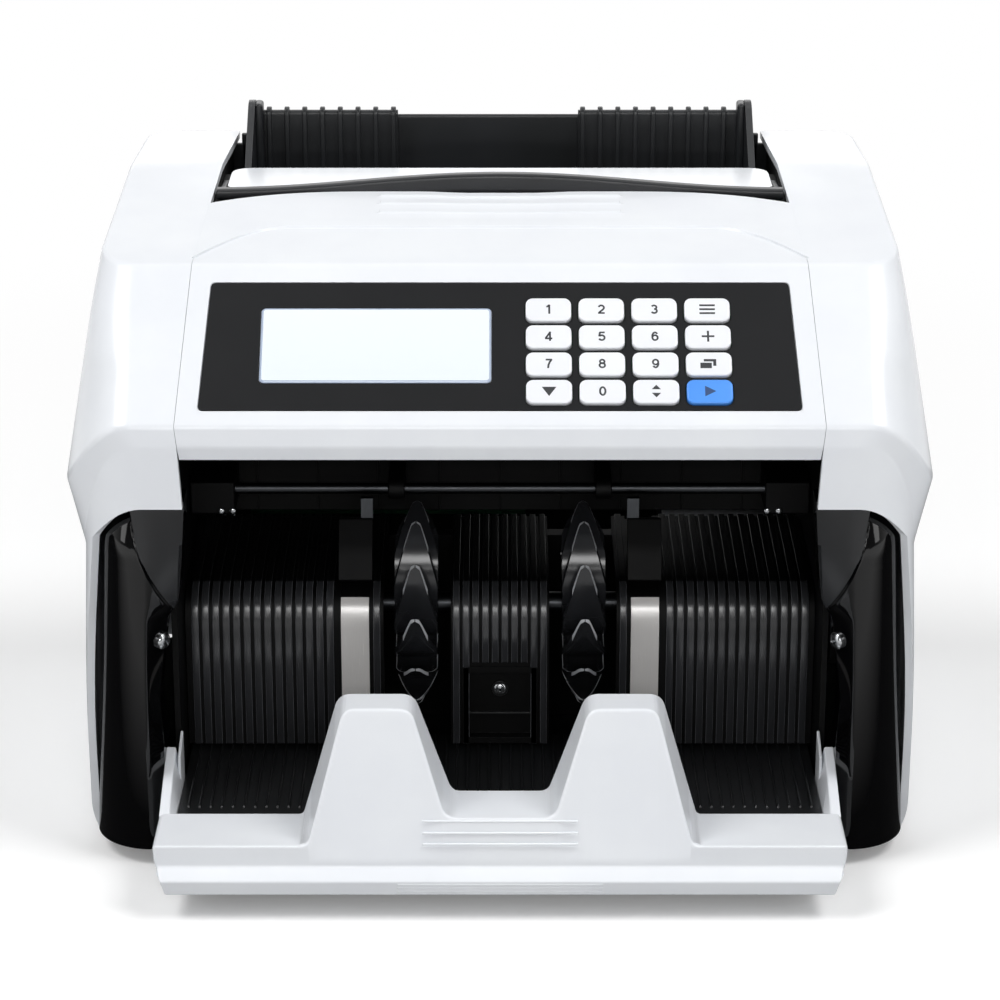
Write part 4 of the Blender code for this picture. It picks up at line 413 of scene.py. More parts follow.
def displayFinish():
    # display under a clear acrylic window: pale blue-white, a little deeper towards its foot
    finish, tree, shader = newFinish("acrylic_display_window", IOR=1.49, Coat_Weight=0.5, Coat_Roughness=0.03)
    place = addNode(tree, "ShaderNodeTexCoord")
    split = addNode(tree, "ShaderNodeSeparateXYZ", {}, {"Vector": (place, "Object")})
    tall = addNode(tree, "ShaderNodeMapRange", {"From Min": 0.171, "From Max": 0.191},
                   {"Value": (split, "Z")})
    tint = shadeRamp(tree, (tall, "Result"), "#EEF6FC", "#F4FAFE")
    haze = noise(tree, (place, "Object"), 30.0, 2.0)
    gloss = addNode(tree, "ShaderNodeMapRange", {"To Min": 0.14, "To Max": 0.22}, {"Value": (haze, "Fac")})
    tree.links.new(tint.outputs["Color"], shader.inputs["Base Color"])
    tree.links.new(gloss.outputs["Result"], shader.inputs["Roughness"])
    return finish


finishes["display"] = displayFinish()
print("finishes:", len(finishes))


# Case

deckSizes = {
    "front": 48.3,
    "knee": 137.0,
    "rear": 191.0,
    "z": 202.0,
    "rise": 0.141,    # climb of the deck towards the knee
    "fall": 0.010,    # drop of the deck behind it
    "frontHalf": 104.2,
    "rearHalf": 98.1,
}
coverSizes = {
    "wall": 2.6,
    "creaseCuts": (0.8, 1.5, 15.0, 1.7),  # fold, nose crease, middle of the slope, shoulder
    "cornerSteps": 18,
    "rearRadius": 12.0,
    "rearInner": 105.0,
    "shoulder": 6.0,      # width of the shoulder's inner strip
    "edgeRound": 0.35,
    "hemZ": 6.0,
    "hemFlare": 2.2,
    "hemEase": 0.6,
    "hemFront": 18.0,
    "hemTurn": 57.0,      # the hem starts this many degrees round the corner
    "hemCornerRear": 21.7,
    "hemBend": 12.0,
    "wallBend": 62.0,
}
# front, rear, parting, half width, half width at the rear, corner in X and Y, front Z, side Z, droop
coverLevels = (
    (0.7, 199.0, 105.4, 140.4, 140.4, 21.0, 21.0, 131.0, 112.0, 1.95),
    (0.0, 199.0, 106.5, 140.8, 140.8, 22.0, 22.0, 153.0, 113.5, 3.0),
    (0.5, 199.0, 107.3, 146.2, 143.0, 24.0, 24.0, 160.0, 135.0, 2.0),
    (28.94, 197.0, 105.46, 139.0, 136.0, 16.0, 20.0, 184.99, 186.0, 2.0),
    (48.3, 191.0, 104.2, 136.0, 132.5, 13.0, 17.0, 202.0, 202.0, 2.0),
)


def deckZ(setback):
    front, knee = deckSizes["front"], deckSizes["knee"]
    return (deckSizes["z"] + deckSizes["rise"] * (min(setback, knee) - front)
            - deckSizes["fall"] * max(setback - knee, 0.0))


def deckHalf(setback):
    # half width between the side covers on the deck
    front = deckSizes["front"]
    share = (setback - front) / (deckSizes["rear"] - front)
    return between(deckSizes["frontHalf"], deckSizes["rearHalf"], share)


def coverRow(level):
    front, rear, parting, half, rearHalf, cornerX, cornerY, frontZ, sideZ, droop = level
    steps = coverSizes["cornerSteps"]
    row = [(between(parting, half - cornerX, i / 3), front, frontZ) for i in range(3)]
    for i in range(steps + 1):
        turn = math.pi / 2 * i / steps
        x = half - cornerX * (1 - math.sin(turn))
        row.append((x, front + cornerY * (1 - math.cos(turn)),
                    between(frontZ, sideZ, math.sin(turn) ** droop)))
    start = front + cornerY
    radius = coverSizes["rearRadius"]
    end = rear - radius
    knee = deckSizes["knee"]
    setbacks = [between(start, knee, i / 7) for i in range(1, 8)]
    setbacks += [between(knee, end, i / 4) for i in range(1, 4)]
    for setback in setbacks:
        row.append((between(half, rearHalf, (setback - start) / (end - start)), setback, sideZ))
    for i in range(9):
        turn = math.pi / 2 * i / 8
        row.append((rearHalf - radius * (1 - math.cos(turn)), end + radius * math.sin(turn), sideZ))
    last = row[-1][0]
    row += [(between(last, coverSizes["rearInner"], i / 3), rear, sideZ) for i in range(1, 4)]
    return row


def coverHem(edge):
    # foot of the side wall, from the column where it starts
    start = 3 + round(coverSizes["cornerSteps"] * coverSizes["hemTurn"] / 90)
    turnEnd = 3 + coverSizes["cornerSteps"]
    hem = []
    for i in range(start, len(edge)):
        x, setback = edge[i][:2]
        flare = coverSizes["hemFlare"]
        if i <= turnEnd:
            share = (i - start) / (turnEnd - start)
            x = coverLevels[0][3] + flare - coverSizes["hemEase"] * (1 - share) ** 2
            setback = between(coverSizes["hemFront"], coverSizes["hemCornerRear"], share)
        elif i < len(edge) - 1:
            x += flare * min((len(edge) - 1 - i) / 6, 1.0)
        hem.append((x, setback, coverSizes["hemZ"]))
    return start, hem


def makeSideCover(name, side, node):
    rows = [coverRow(level) for level in coverLevels]
    rows[-1] = [(x, y, deckZ(y)) for x, y, z in rows[-1]]
    shoulder = rows[-1]
    columns = []
    for i in range(len(shoulder)):
        path = [Vector(row[i]) for row in rows]
        before = Vector(shoulder[max(i - 1, 0)])
        after = Vector(shoulder[min(i + 1, len(shoulder) - 1)])
        run = (after - before).normalized()
        reach = coverSizes["shoulder"]
        inward = Vector((shoulder[i][0] - run.y * reach, shoulder[i][1] + run.x * reach, 0.0))
        if i == 0:
            first = deckSizes["front"] + reach
            inward = Vector((deckHalf(first), first, 0.0))
        inward.z = deckZ(inward.y)
        columns.append(softPath(path + [inward], coverSizes["creaseCuts"])[:-1])
    shape = bmesh.new()
    made = [[shape.verts.new(at(side * p.x, p.y, p.z)) for p in column] for column in columns]
    for one, two in zip(made, made[1:]):
        for i in range(len(one) - 1):
            shape.faces.new((one[i], two[i], two[i + 1], one[i + 1]))
    start, hem = coverHem(rows[0])
    edge = rows[0][start:]
    ladder = []
    for (x, y, z), (edgeX, edgeY, edgeZ) in zip(hem, edge):
        full = x - edgeX if abs(x - edgeX) < 6 else 0.0
        flare = coverSizes["hemFlare"] if full else 0.0
        path = [Vector((edgeX, edgeY, edgeZ)), Vector((x, between(edgeY, y, 0.48), coverSizes["wallBend"])),
                Vector((x, y, coverSizes["hemBend"])), Vector((x - flare, y, z))]
        ladder.append([shape.verts.new(at(side * p.x, p.y, p.z)) for p in softPath(path, (30.0, 4.5), 6)[1:]])
    for i in range(len(ladder) - 1):
        one, two = [made[start + i][0]] + ladder[i], [made[start + i + 1][0]] + ladder[i + 1]
        for j in range(len(one) - 1):
            shape.faces.new((one[j], two[j], two[j + 1], one[j + 1]))
    bend = deckSizes["knee"]
    knee = next(i for i, p in enumerate(shoulder) if p[1] >= bend - 0.01)
    kneeInner = shape.verts.new(at(side * deckHalf(bend), bend, deckZ(bend)))
    tail = shape.verts.new(at(side * deckSizes["rearHalf"], columns[-1][-1].y, deckZ(190.0)))
    shape.faces.new([column[-1] for column in made[:knee + 1]] + [kneeInner])
    shape.faces.new([column[-1] for column in made[knee:]] + [tail, kneeInner])
    faceUp(shape)
    cover = thicken(rawPiece(name, shape, finishes["whiteAbs"]), coverSizes["wall"])
    softenEdges(cover, coverSizes["edgeRound"], 55)
    return mount(cover, standsFor=node)


makeSideCover("left_cover_shell", -1, "left_side_cover")
makeSideCover("right_cover_shell", 1, "right_side_cover")
print("side covers")


frontSizes = {
    "wall": 2.4,
    "rise": 0.75,  # the deck behind the arched step stands this much higher
    "ridges": (103.8, 97.0, 89.4),
    "ridgeHalf": 43.0,
    "ridgeRise": 0.60,
    "ridgeWidth": 1.3,
    "panel": ((99.6, 6.3), (97.1, 56.0)),  # half width and spot up the slope, at its foot and top
    "panelRound": 1.7,
    "panelFit": 0.3,
    "panelSink": 0.8,
    "windowCut": (-78.3, 18.3, -4.4, 44.3),  # left, low, right and high, on the slope
    "keyCut": (7.2, 7.5, 78.2, 50.6),
    "partingGap": 0.15,
    "edgeRound": 0.35,
    "step": (78.6, 72.0, 32.2, 28.6),     # setback, straight half, width and depth of the turn
    "rearEdge": (109.2, 45.0, 58.0, 10.4),
    "scoop": 1.3,
}


def stepLine(x):
    # arched step across the deck, straight in the middle and down to the corners
    setback, straight, width, depth = frontSizes["step"]
    return setback - depth * max((abs(x) - straight) / width, 0.0) ** 1.9


def rearLine(x):
    # rear edge: shallow finger scoop in the middle, corners drawn forward
    scoop = frontSizes["scoop"] * (1 - readOff(abs(x), ((12, 0), (18, 0.35), (24, 0.85), (30, 1.0))))
    setback, straight, width, depth = frontSizes["rearEdge"]
    return setback - scoop - depth * max((abs(x) - straight) / width, 0.0) ** 2.6


def frontColumns():
    # shares of the half width, closer together at the ends of the ridges
    shares = [i / 70 for i in range(71)]
    end = frontSizes["ridgeHalf"] / 101.5
    shares += [end - 0.012, end - 0.004, end + 0.004]
    right = sorted(set(shares))
    return [-s for s in reversed(right[1:])] + right


def deckRows():
    # for each row its setback and the height added to the deck, both as functions of X
    rows = []
    for i in range(1, 9):
        rows.append((lambda x, s=i / 8: between(49.9, stepLine(x) - 0.5, s), lambda x: 0.0))
    for rise, ahead in ((0.06, -0.1), (0.92, 0.2), (1.0, 0.5)):
        rows.append((lambda x, a=ahead: stepLine(x) + a, lambda x, r=rise: r * frontSizes["rise"]))

    def flat(place):
        def spot(x):
            # straight rows in the middle, squeezed together where the rear edge comes forward
            low, high = stepLine(x) + 0.5, rearLine(x)
            return between(low, high, (place - 79.1) / (107.9 - 79.1))
        return spot

    def lift(extra):
        def rise(x):
            fade = readOff(abs(x), ((frontSizes["ridgeHalf"] - 1.2, 1.0), (frontSizes["ridgeHalf"], 0.0)))
            return frontSizes["rise"] + extra * fade
        return rise
    places = [(81.5, 0.0), (84.5, 0.0)]
    width = frontSizes["ridgeWidth"] / 2
    for middle in sorted(frontSizes["ridges"]):
        places += [(middle - width, 0.0), (middle - width * 0.55, 0.75 * frontSizes["ridgeRise"]),
                   (middle, frontSizes["ridgeRise"]), (middle + width * 0.55, 0.75 * frontSizes["ridgeRise"]),
                   (middle + width, 0.0), (middle + 3.4, 0.0)]
    places = [p for p in places if p[0] < 106.5] + [(107.9, 0.0)]
    for place, extra in places:
        rows.append((flat(place), lift(extra)))
    return rows


slopeTurn = Matrix.Translation(at(0, 0.5, 160)) @ Matrix.Rotation(math.atan2(42.0, 47.8), 4, "X")


def onSlope(x, along, up):
    # point on the keyboard slope, up along its normal
    return slopeTurn @ (Vector((x, along, up)) * mm)


def slopeLoft(name, layers, finish=None):
    # layers: outline in X and slope distance, and its height above the slope
    rings = [[onSlope(x, y, up) for x, y in outline] for outline, up in layers]
    return rawPiece(name, loftOf(rings), finish)


def slopeCut(name, outline, low, high):
    # straight cutter through the slope
    return slopeLoft(name, [(outline, low), (outline, high)])


def panelOutline(grow=0.0):
    # the panel narrows a little towards its top
    (footHalf, foot), (topHalf, top) = frontSizes["panel"]
    corners = [(footHalf + grow, foot - grow), (topHalf + grow, top + grow)]
    corners += [(-x, y) for x, y in reversed(corners)]
    loop = [corners[-1]] + corners + [corners[0]]
    points = softPath([Vector(p) for p in loop], [frontSizes["panelRound"] + grow] * 4, 6)
    return [(p.x, p.y) for p in points[1:-1]]


def makeFrontCover():
    shares = frontColumns()
    gap = frontSizes["partingGap"]
    # setback, Z and half width
    profile = [(14.0, 148.3, 105.95), (1.5, 148.0, 105.95), (0.0, 153.0, 106.5), (0.5, 160.0, 107.3),
               (48.3, 202.0, 104.2), (62.0, deckZ(62.0), deckHalf(62.0))]
    nose = softPath(profile, (0.7, 0.9, 1.2, 1.5))[:-1]
    rows = [[at(share * (p[2] - gap), p[0], p[1]) for share in shares] for p in nose]
    for spot, rise in deckRows():
        row = []
        for share in shares:
            setback = spot(share * (deckHalf(80.0) - gap))
            x = share * (deckHalf(setback) - gap)
            fade = min(max((setback - 49.9) / 3, 0.0), 1.0)
            row.append(at(x, setback, deckZ(setback) + rise(x) * fade))
        rows.append(row)
    shape = sheetOf(rows)
    faceUp(shape)
    cover = thicken(rawPiece("front_cover_shell", shape, finishes["whiteAbs"]), frontSizes["wall"])
    carve(cover, [slopeCut("recess", panelOutline(frontSizes["panelFit"]), -frontSizes["panelSink"], 3.0)]
          + [slopeCut(cut, roundedBox(*frontSizes[cut], 1.5), -6.0, 3.0) for cut in ("windowCut", "keyCut")])
    softenEdges(cover, frontSizes["edgeRound"], 55, 2)
    return mount(cover, standsFor="front_cover")


makeFrontCover()
print("front cover")


# Keyboard panel

panelSizes = {
    "thick": 0.5,
    "top": 0.06,
    "edge": 0.08,
    "keyWidth": 15.3,
    "keyHeight": 9.1,
    "keyCorner": 2.5,
    "keyRise": 1.2,
    "keyRound": 0.55,
    "keyRoot": 1.4,
    "keyFit": 0.35,
    "crown": 0.05,        # the key's middle stands this much higher
    "crownInset": 2.2,
    "firstX": 16.2,
    "topRow": 44.8,
    "pitchX": 17.7,
    "pitchRow": 10.6,
    "lens": (-79.8, 16.8, -2.9, 45.8),  # left, low, right and high, on the slope
    "lensFit": 0.2,
    "lensRise": 0.55,
    "lensChamfer": 0.75,
    "digitStroke": 0.64,
    "digitScale": 1.1,
}
keyRows = (
    ("key_1", "key_2", "key_3", "key_mode"),
    ("key_4", "key_5", "key_6", "key_add"),
    ("key_7", "key_8", "key_9", "key_batch"),
    ("key_down", "key_0", "key_value", "key_start"),
)
# drawn signs in place of words: polygons in mm round the middle of the key
keySigns = {
    "key_down": [[(-2.4, 1.6), (0.0, -1.9), (2.4, 1.6)]],
    "key_mode": [[(-2.6, y + 0.35), (-2.6, y - 0.35), (2.6, y - 0.35), (2.6, y + 0.35)]
                 for y in (1.55, 0.0, -1.55)],
    "key_add": [[(-0.35, 2.1), (-0.35, 0.35), (-2.1, 0.35), (-2.1, -0.35), (-0.35, -0.35), (-0.35, -2.1),
                 (0.35, -2.1), (0.35, -0.35), (2.1, -0.35), (2.1, 0.35), (0.35, 0.35), (0.35, 2.1)]],
    "key_batch": [[(-2.9, 0.3), (-2.9, -1.8), (0.9, -1.8), (0.9, 0.3)],
                  [(-1.7, 1.7), (-1.7, 0.8), (1.4, 0.8), (1.4, -0.9), (2.4, -0.9), (2.4, 1.7)]],
    "key_value": [[(-1.5, 0.7), (0.0, 2.4), (1.5, 0.7)], [(-1.5, -0.7), (0.0, -2.4), (1.5, -0.7)]],
    "key_start": [[(-1.6, 2.0), (-1.6, -2.0), (2.1, 0.0)]],
}


def keyMiddle(row, column):
    return (panelSizes["firstX"] + panelSizes["pitchX"] * column,
            panelSizes["topRow"] - panelSizes["pitchRow"] * row)


def keyOutline(row, column, grow):
    x, y = keyMiddle(row, column)
    halfX = panelSizes["keyWidth"] / 2 + grow
    halfY = panelSizes["keyHeight"] / 2 + grow
    return roundedBox(x - halfX, y - halfY, x + halfX, y + halfY,
                      max(panelSizes["keyCorner"] + grow, 0.3))


def makePanel():
    top, fit = panelSizes["top"], panelSizes["lensFit"]
    film = slopeLoft("keyboard_film", [(panelOutline(), top - panelSizes["thick"]), (panelOutline(), top)],
                     finishes["panelFilm"])
    left, foot, right, high = panelSizes["lens"]
    opening = roundedBox(left - fit, foot - fit, right + fit, high + fit, 1.6)
    cutters = [slopeCut("lensCut", opening, -2.0, 2.0)]
    holes = bmesh.new()
    for row in range(4):
        for column in range(4):
            ring = keyOutline(row, column, panelSizes["keyFit"])
            loftOf([[onSlope(x, y, up) for x, y in ring] for up in (-2.0, 2.0)], shape=holes)
    cutters.append(rawPiece("keyCuts", holes))
    carve(film, cutters)
    softenEdges(film, panelSizes["edge"], 55, 2)
    mount(film, standsFor="panel_overlay")
    chamfer, rise = panelSizes["lensChamfer"], panelSizes["lensRise"]
    edge = roundedBox(left, foot, right, high, 1.5)
    layers = [(edge, -0.5), (edge, 0.15),
              (roundedBox(left + chamfer, foot + chamfer, right - chamfer, high - chamfer, 0.9), rise)]
    lens = slopeLoft("display_window_lens", layers, finishes["display"])
    lens.data.materials.append(finishes["displayEdge"])
    up = slopeTurn.to_3x3() @ Vector((0, 0, 1))
    for face in lens.data.polygons:
        face.material_index = 0 if face.normal.dot(up) > 0.98 else 1
    softenEdges(lens, 0.12, 25, 2)
    mount(lens, standsFor="lcd_window")


def arc(x, y, radiusX, radiusY, start, end, steps=14):
    angles = [math.radians(between(start, end, i / steps)) for i in range(steps + 1)]
    return [(x + radiusX * math.cos(t), y + radiusY * math.sin(t)) for t in angles]


# strokes of the digits, in mm round the middle of the key
digitStrokes = {
    "0": [arc(0, 0, 0.80, 1.36, 0, 360, 32)],
    "1": [[(0.25, 1.62), (0.25, -1.62)], [(-0.62, 0.86), (-0.2, 1.05), (0.3, 1.5)]],
    "2": [arc(0, 0.56, 0.80, 0.80, 165, -25) + [(0.42, -0.18), (-0.35, -0.85), (-0.78, -1.36)],
          [(-1.02, -1.36), (1.02, -1.36)]],
    "3": [arc(-0.04, 0.68, 0.72, 0.68, 155, -90), arc(-0.04, -0.62, 0.84, 0.74, 90, -155)],
    "4": [[(0.42, 1.62), (0.42, -1.62)], [(0.46, 1.44), (-0.90, -0.66)], [(-1.12, -0.76), (1.10, -0.76)]],
    "5": [[(0.92, 1.36), (-0.66, 1.36)], [(-0.52, 1.5), (-0.76, -0.06)],
          arc(-0.02, -0.50, 0.86, 0.86, 140, -155)],
    "6": [arc(0.02, -0.50, 0.80, 0.86, 0, 360, 28), arc(0.04, -0.1, 0.84, 1.46, 180, 38)],
    "7": [[(-0.95, 1.36), (1.0, 1.36)], [(0.78, 1.3), (0.22, 0.45), (-0.12, -0.5), (-0.24, -1.62)]],
    "8": [arc(0, 0.70, 0.68, 0.66, 0, 360, 24), arc(0, -0.60, 0.82, 0.76, 0, 360, 28)],
    "9": [arc(-0.02, 0.50, 0.80, 0.86, 0, 360, 28), arc(-0.04, 0.1, 0.84, 1.46, 0, -142)],
}


def strokePlate(points, width, shape):
    # thin plate of even width along a line; a line that ends where it starts becomes a ring
    spots = [Vector(p) * panelSizes["digitScale"] for p in points]
    closed = (spots[0] - spots[-1]).length < 0.01
    if closed:
        spots = spots[:-1]
    rings = []
    for i, p in enumerate(spots):
        before = spots[i - 1] if i or closed else p
        after = spots[(i + 1) % len(spots)] if i < len(spots) - 1 or closed else p
        run = (after - before).normalized()
        out = Vector((-run.y, run.x)) * width / 2
        rings.append([Vector((q.x, q.y, up)) * mm for q, up in
                      ((p + out, -0.02), (p - out, -0.02), (p - out, 0.02), (p + out, 0.02))])
    loftOf(rings + ([rings[0]] if closed else []), capped=not closed, shape=shape)


def signMesh(name, finish):
    # digits are drawn as strokes; the other signs are flat polygons
    digit = name.split("_")[1]
    shape = bmesh.new()
    if digit.isdigit():
        for stroke in digitStrokes[digit]:
            strokePlate(stroke, panelSizes["digitStroke"], shape)
    else:
        for outline in keySigns[name]:
            loftOf([[Vector((x, y, up)) * mm for x, y in outline] for up in (-0.02, 0.02)], shape=shape)
    for vertex in shape.verts:
        vertex.co.z += 0.02 * mm
    return rawPiece("sign", shape, finish)


def makeKey(name, row, column):
    blue = name == "key_start"
    rise, roundness = panelSizes["keyRise"], panelSizes["keyRound"]
    side = keyOutline(row, column, 0.0)
    layers = [(side, -panelSizes["keyRoot"]), (side, rise - roundness)]
    for step in range(1, 6):
        turn = math.pi / 2 * step / 5
        layers.append((keyOutline(row, column, -roundness * (1 - math.cos(turn))),
                       rise - roundness + roundness * math.sin(turn)))
    layers.append((keyOutline(row, column, -panelSizes["crownInset"]), rise + panelSizes["crown"]))
    cap = slopeLoft(name.replace("key_", "keycap_"), layers, finishes["keyBlue" if blue else "keyWhite"])
    softenEdges(cap, 0, 40)
    sign = signMesh(name, finishes["inkBlue" if blue else "ink"])
    x, y = keyMiddle(row, column)
    sign.data.transform(slopeTurn @ Matrix.Translation(Vector((x, y, rise + 0.035)) * mm))
    joinInto(cap, [sign])
    mount(cap, body=frame["nodes"][name]["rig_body"], standsFor=name)


makePanel()
for row, names in enumerate(keyRows):
    for column, name in enumerate(names):
        makeKey(name, row, column)
print("panel, display and keys")


# Glossy corner panels

cornerSizes = {
    "wall": 2.0,
    "front": 1.2,
    "outer": 136.6,
    "outerZ": 97.0,
    "foldZ": (90.0, 5.0),  # from this height, over this way up
    "flankSpots": (17.0, 12.0),
    "foldStep": 0.12,      # radians
    "footOuter": 140.7,
    "bendX": 119.5,
    "bendY": 20.8,
    "tail": 30.0,
    "flank": 24.0,
    "chamfer": 10.0,
    "fold": 1.1,
    "foldWidth": 1.0,
    "lean": 0.0256,
    "leanFrom": 113.0,
    "foot": 6.0,
    "top": 130.5,
    "tailTop": 110.0,
    "edgeGap": 0.45,      # to the lower edge of the side cover
}
# half width of the inner edge, and of the crease between the flat and the rolled part, by height
innerEdge = ((6.0, 115.8), (42.0, 115.4), (50.0, 116.0), (58.3, 116.4), (70.0, 115.2), (80.5, 113.8),
             (86.0, 113.0), (89.6, 112.2), (91.6, 110.4), (94.8, 108.8), (110.0, 107.2), (127.0, 106.0),
             (131.0, 105.9))
creaseLine = ((88.0, 108.0), (90.7, 110.0), (94.2, 112.7), (99.6, 115.6), (105.8, 118.3), (113.0, 121.0),
              (120.5, 122.6), (131.0, 124.2))


def coverEdgeZ(x):
    # lower edge of the side cover on its way round the corner
    half, corner, frontZ, sideZ, droop = (coverLevels[0][i] for i in (3, 5, 7, 8, 9))
    share = min(max((x - half + corner) / corner, 0.0), 1.0)
    return between(frontZ, sideZ, share ** droop)


def rollSetback(x, inner, outer):
    # front surface between the inner edge and the side: a slant that runs softly into an ellipse
    bend, front, chamfer = cornerSizes["bendX"], cornerSizes["front"], cornerSizes["chamfer"]
    slant = chamfer + (front - chamfer) * (x - inner) / (bend - inner)
    share = min(max((x - bend) / (outer - bend), 0.0), 1.0)
    side = front + cornerSizes["bendY"] * (1 - math.sqrt(1 - share * share))
    return 0.5 * (slant + side + math.sqrt((slant - side) ** 2 + 1.0)) if x < bend + 4 else max(side, slant)


def cornerRow(z):
    # from the flank round the front to the tail, with a column on each side of the crease
    inner = readOff(z, innerEdge)
    outer = between(cornerSizes["footOuter"], cornerSizes["outer"], z / cornerSizes["outerZ"])
    bend, width = cornerSizes["bendX"], cornerSizes["foldWidth"]
    crease = max(readOff(z, creaseLine), inner + width + 0.3)
    places = [between(inner, crease - width, i / 8) for i in range(8)]
    places += [crease - width + width * i / 5 for i in range(5)]
    first = math.asin(min(max((crease - bend) / (outer - bend), 0.0), 0.95))
    if crease < bend:
        places += [between(crease, bend, i / 6) for i in range(6)]
    else:
        foldEnd = first + cornerSizes["foldStep"]
        places += [bend + (outer - bend) * math.sin(between(first, foldEnd, i / 6)) for i in range(6)]
        first = foldEnd
    places += [bend + (outer - bend) * math.sin(between(first, math.pi / 2, i / 24)) for i in range(25)]
    low, rise = cornerSizes["foldZ"]
    depth = cornerSizes["fold"] * min(max((z - low) / rise, 0.0), 1.0)
    row = [(inner, setback) for setback in (cornerSizes["flank"], *cornerSizes["flankSpots"])]
    for x in places:
        into = min(max((crease - x) / width, 0.0), 1.0)
        # the roll leans back towards its top, beside the flat part
        lean = cornerSizes["lean"] * max(z - cornerSizes["leanFrom"], 0.0) ** 2 * (1 - into)
        row.append((x, rollSetback(x, inner, outer) + depth * into * into * (3 - 2 * into) + lean))
    row.append((outer, cornerSizes["tail"]))
    points = []
    for i, (x, y) in enumerate(row):
        top = cornerSizes["tailTop" if i > len(row) - 2 else "top"]
        points.append(at(x, y, min(z, coverEdgeZ(x) - cornerSizes["edgeGap"], top)))
    return points


def makeCornerPanel(name, side, node):
    heights = [cornerSizes["foot"] + 2.0 * i for i in range(41)] + [88.0 + 1.0 * i for i in range(1, 43)]
    rows = [[Vector((p.x * side, p.y, p.z)) for p in cornerRow(z)] for z in heights]
    shape = sheetOf(rows)
    bmesh.ops.dissolve_degenerate(shape, edges=shape.edges, dist=0.004 * mm)
    bmesh.ops.recalc_face_normals(shape, faces=shape.faces)
    panel = rawPiece(name, shape, finishes["pianoBlack"])
    widest = max(panel.data.polygons, key=lambda face: face.area)
    outward = Vector(widest.center) - at(side * cornerSizes["bendX"], 24, 60)
    thicken(panel, cornerSizes["wall"], -1 if widest.normal.dot(outward) > 0 else 1)
    evenShade(panel, 55)
    # the flat facet above the crease takes the lighter satin black, a painted reflection
    panel.data.materials.append(finishes["cornerFlat"])
    for face in panel.data.polygons:
        middle = face.center / mm
        crease = readOff(middle.z, creaseLine) - cornerSizes["foldWidth"] / 2
        if middle.z > 89 and abs(middle.x) < crease and face.normal.y < -0.5:
            face.material_index = 1
    return mount(panel, standsFor=node)


makeCornerPanel("left_corner_trim", -1, "left_corner_panel")
makeCornerPanel("right_corner_trim", 1, "right_corner_panel")
print("corner panels")


# Stacker tray

traySizes = {
    "half": 115.5,
    "rear": -11.7,
    "under": 8.3,
    "face": -37.0,
    "lean": 0.276,
    "lipZ": 26.0,
    "edge": 1.5,      # round of the front edges
    "rearEdge": 0.7,
    "endEdge": 1.6,
    "endFrom": 100.0,
    "endAim": (-24.0, 17.0),         # spot of the section that the round ends close towards
    "wallSpots": (-13.0, -6.0, 2.0, 10.0, 17.4),
    "wallInner": 110.0,
    "wallBevel": (112.2, 9.0),       # from the outside, and its height
    "wallRise": (26.0, 40.0, 35.7),  # from one height to the other over this depth
    "wallFoot": 24.4,
    "tabSpots": (12.0, 17.4, 24.0),
    "tab": (110.1, 111.1, 0.5),      # inner and outer face, and how far it stands above the wall
    "ridgeZ": (34.0, 30.2, 26.6),
    "ridgeHalf": 25.8,
    "bellyZ": (13.6, 11.9, 10.2),
    "bellyHalf": 34.4,
    "ridge": (0.42, 0.36, 0.08),     # half width, height and sink
}
# setback and height of the chin, from underneath up to the face
trayChin = ((-30.0, 8.3), (-38.0, 8.3), (-41.0, 14.7), (-37.0, 18.4), (-37.0, 22.0))
trayRear = softPath([(0, 34.6), (16.2, 34.6), (28.8, 70.2), (54.0, 70.2), (66.6, 26.0), (115.5, 26.0)],
                    (3.0, 4.2, 4.2, 1.6), 6)
trayFront = softPath([(0, 35.0), (18.2, 35.0), (29.4, 70.2), (52.0, 70.2), (63.8, 26.0), (115.5, 26.0)],
                     (3.6, 4.2, 4.2, 2.4), 6)


def trayEnd(z):
    # how far the ends are drawn in at a height
    return readOff(z, ((8.3, 5.0), (10.0, 3.4), (14.7, 2.4), (18.4, 0.6), (22.0, 0.0)))


def trayFace(z):
    # setback of the leaning front face
    return traySizes["face"] + traySizes["lean"] * max(z - traySizes["lipZ"], 0.0)


def wallTop(setback):
    low, high, depth = traySizes["wallRise"]
    return between(low, high, (setback - traySizes["rear"]) / depth) + 0.2


def traySection(x, slope):
    high = readOff(x, [(p.x, p.y) for p in trayFront])
    rear = readOff(x, [(p.x, p.y) for p in trayRear])
    edge = traySizes["edge"]
    deep = min(edge * math.sqrt(1 + slope * slope), high - 20.0)
    back, rearEdge = traySizes["rear"], traySizes["rearEdge"]
    face = trayFace(high)
    topIn = Vector((face + edge, high + (rear - high) * edge / (back - face)))
    section = [Vector((back, traySizes["under"]))] + list(softPath(trayChin, (1.0, 0.9, 0.9), 4))
    section += softPath([(trayFace(high - deep) - 0.0001, high - deep), (face, high), topIn], [99.0], 6)
    section += softPath([topIn + Vector((0.3, 0.0)), (back, rear), (back, rear - rearEdge * 2)],
                        [rearEdge], 3)[1:]
    return section


def trayRidge(spot, run, half):
    # half-round line along X, laid on a face that runs along the given direction
    along = Vector(run).normalized()
    out = Vector((-along.y, along.x))
    wide, high, sink = traySizes["ridge"]
    rings = []
    for x, share in ((-half, 0.05), (-half + 0.25, 0.7), (-half + 0.7, 1.0),
                     (half - 0.7, 1.0), (half - 0.25, 0.7), (half, 0.05)):
        ring = []
        for step in range(9):
            turn = math.pi * step / 8
            p = Vector(spot) + along * (wide * math.cos(turn)) + out * (high * math.sin(turn) * share - sink)
            ring.append(at(x, p.x, p.y))
        rings.append(ring)
    return evenShade(rawPiece("ridge", loftOf(rings), finishes["whiteAbs"]), 60)


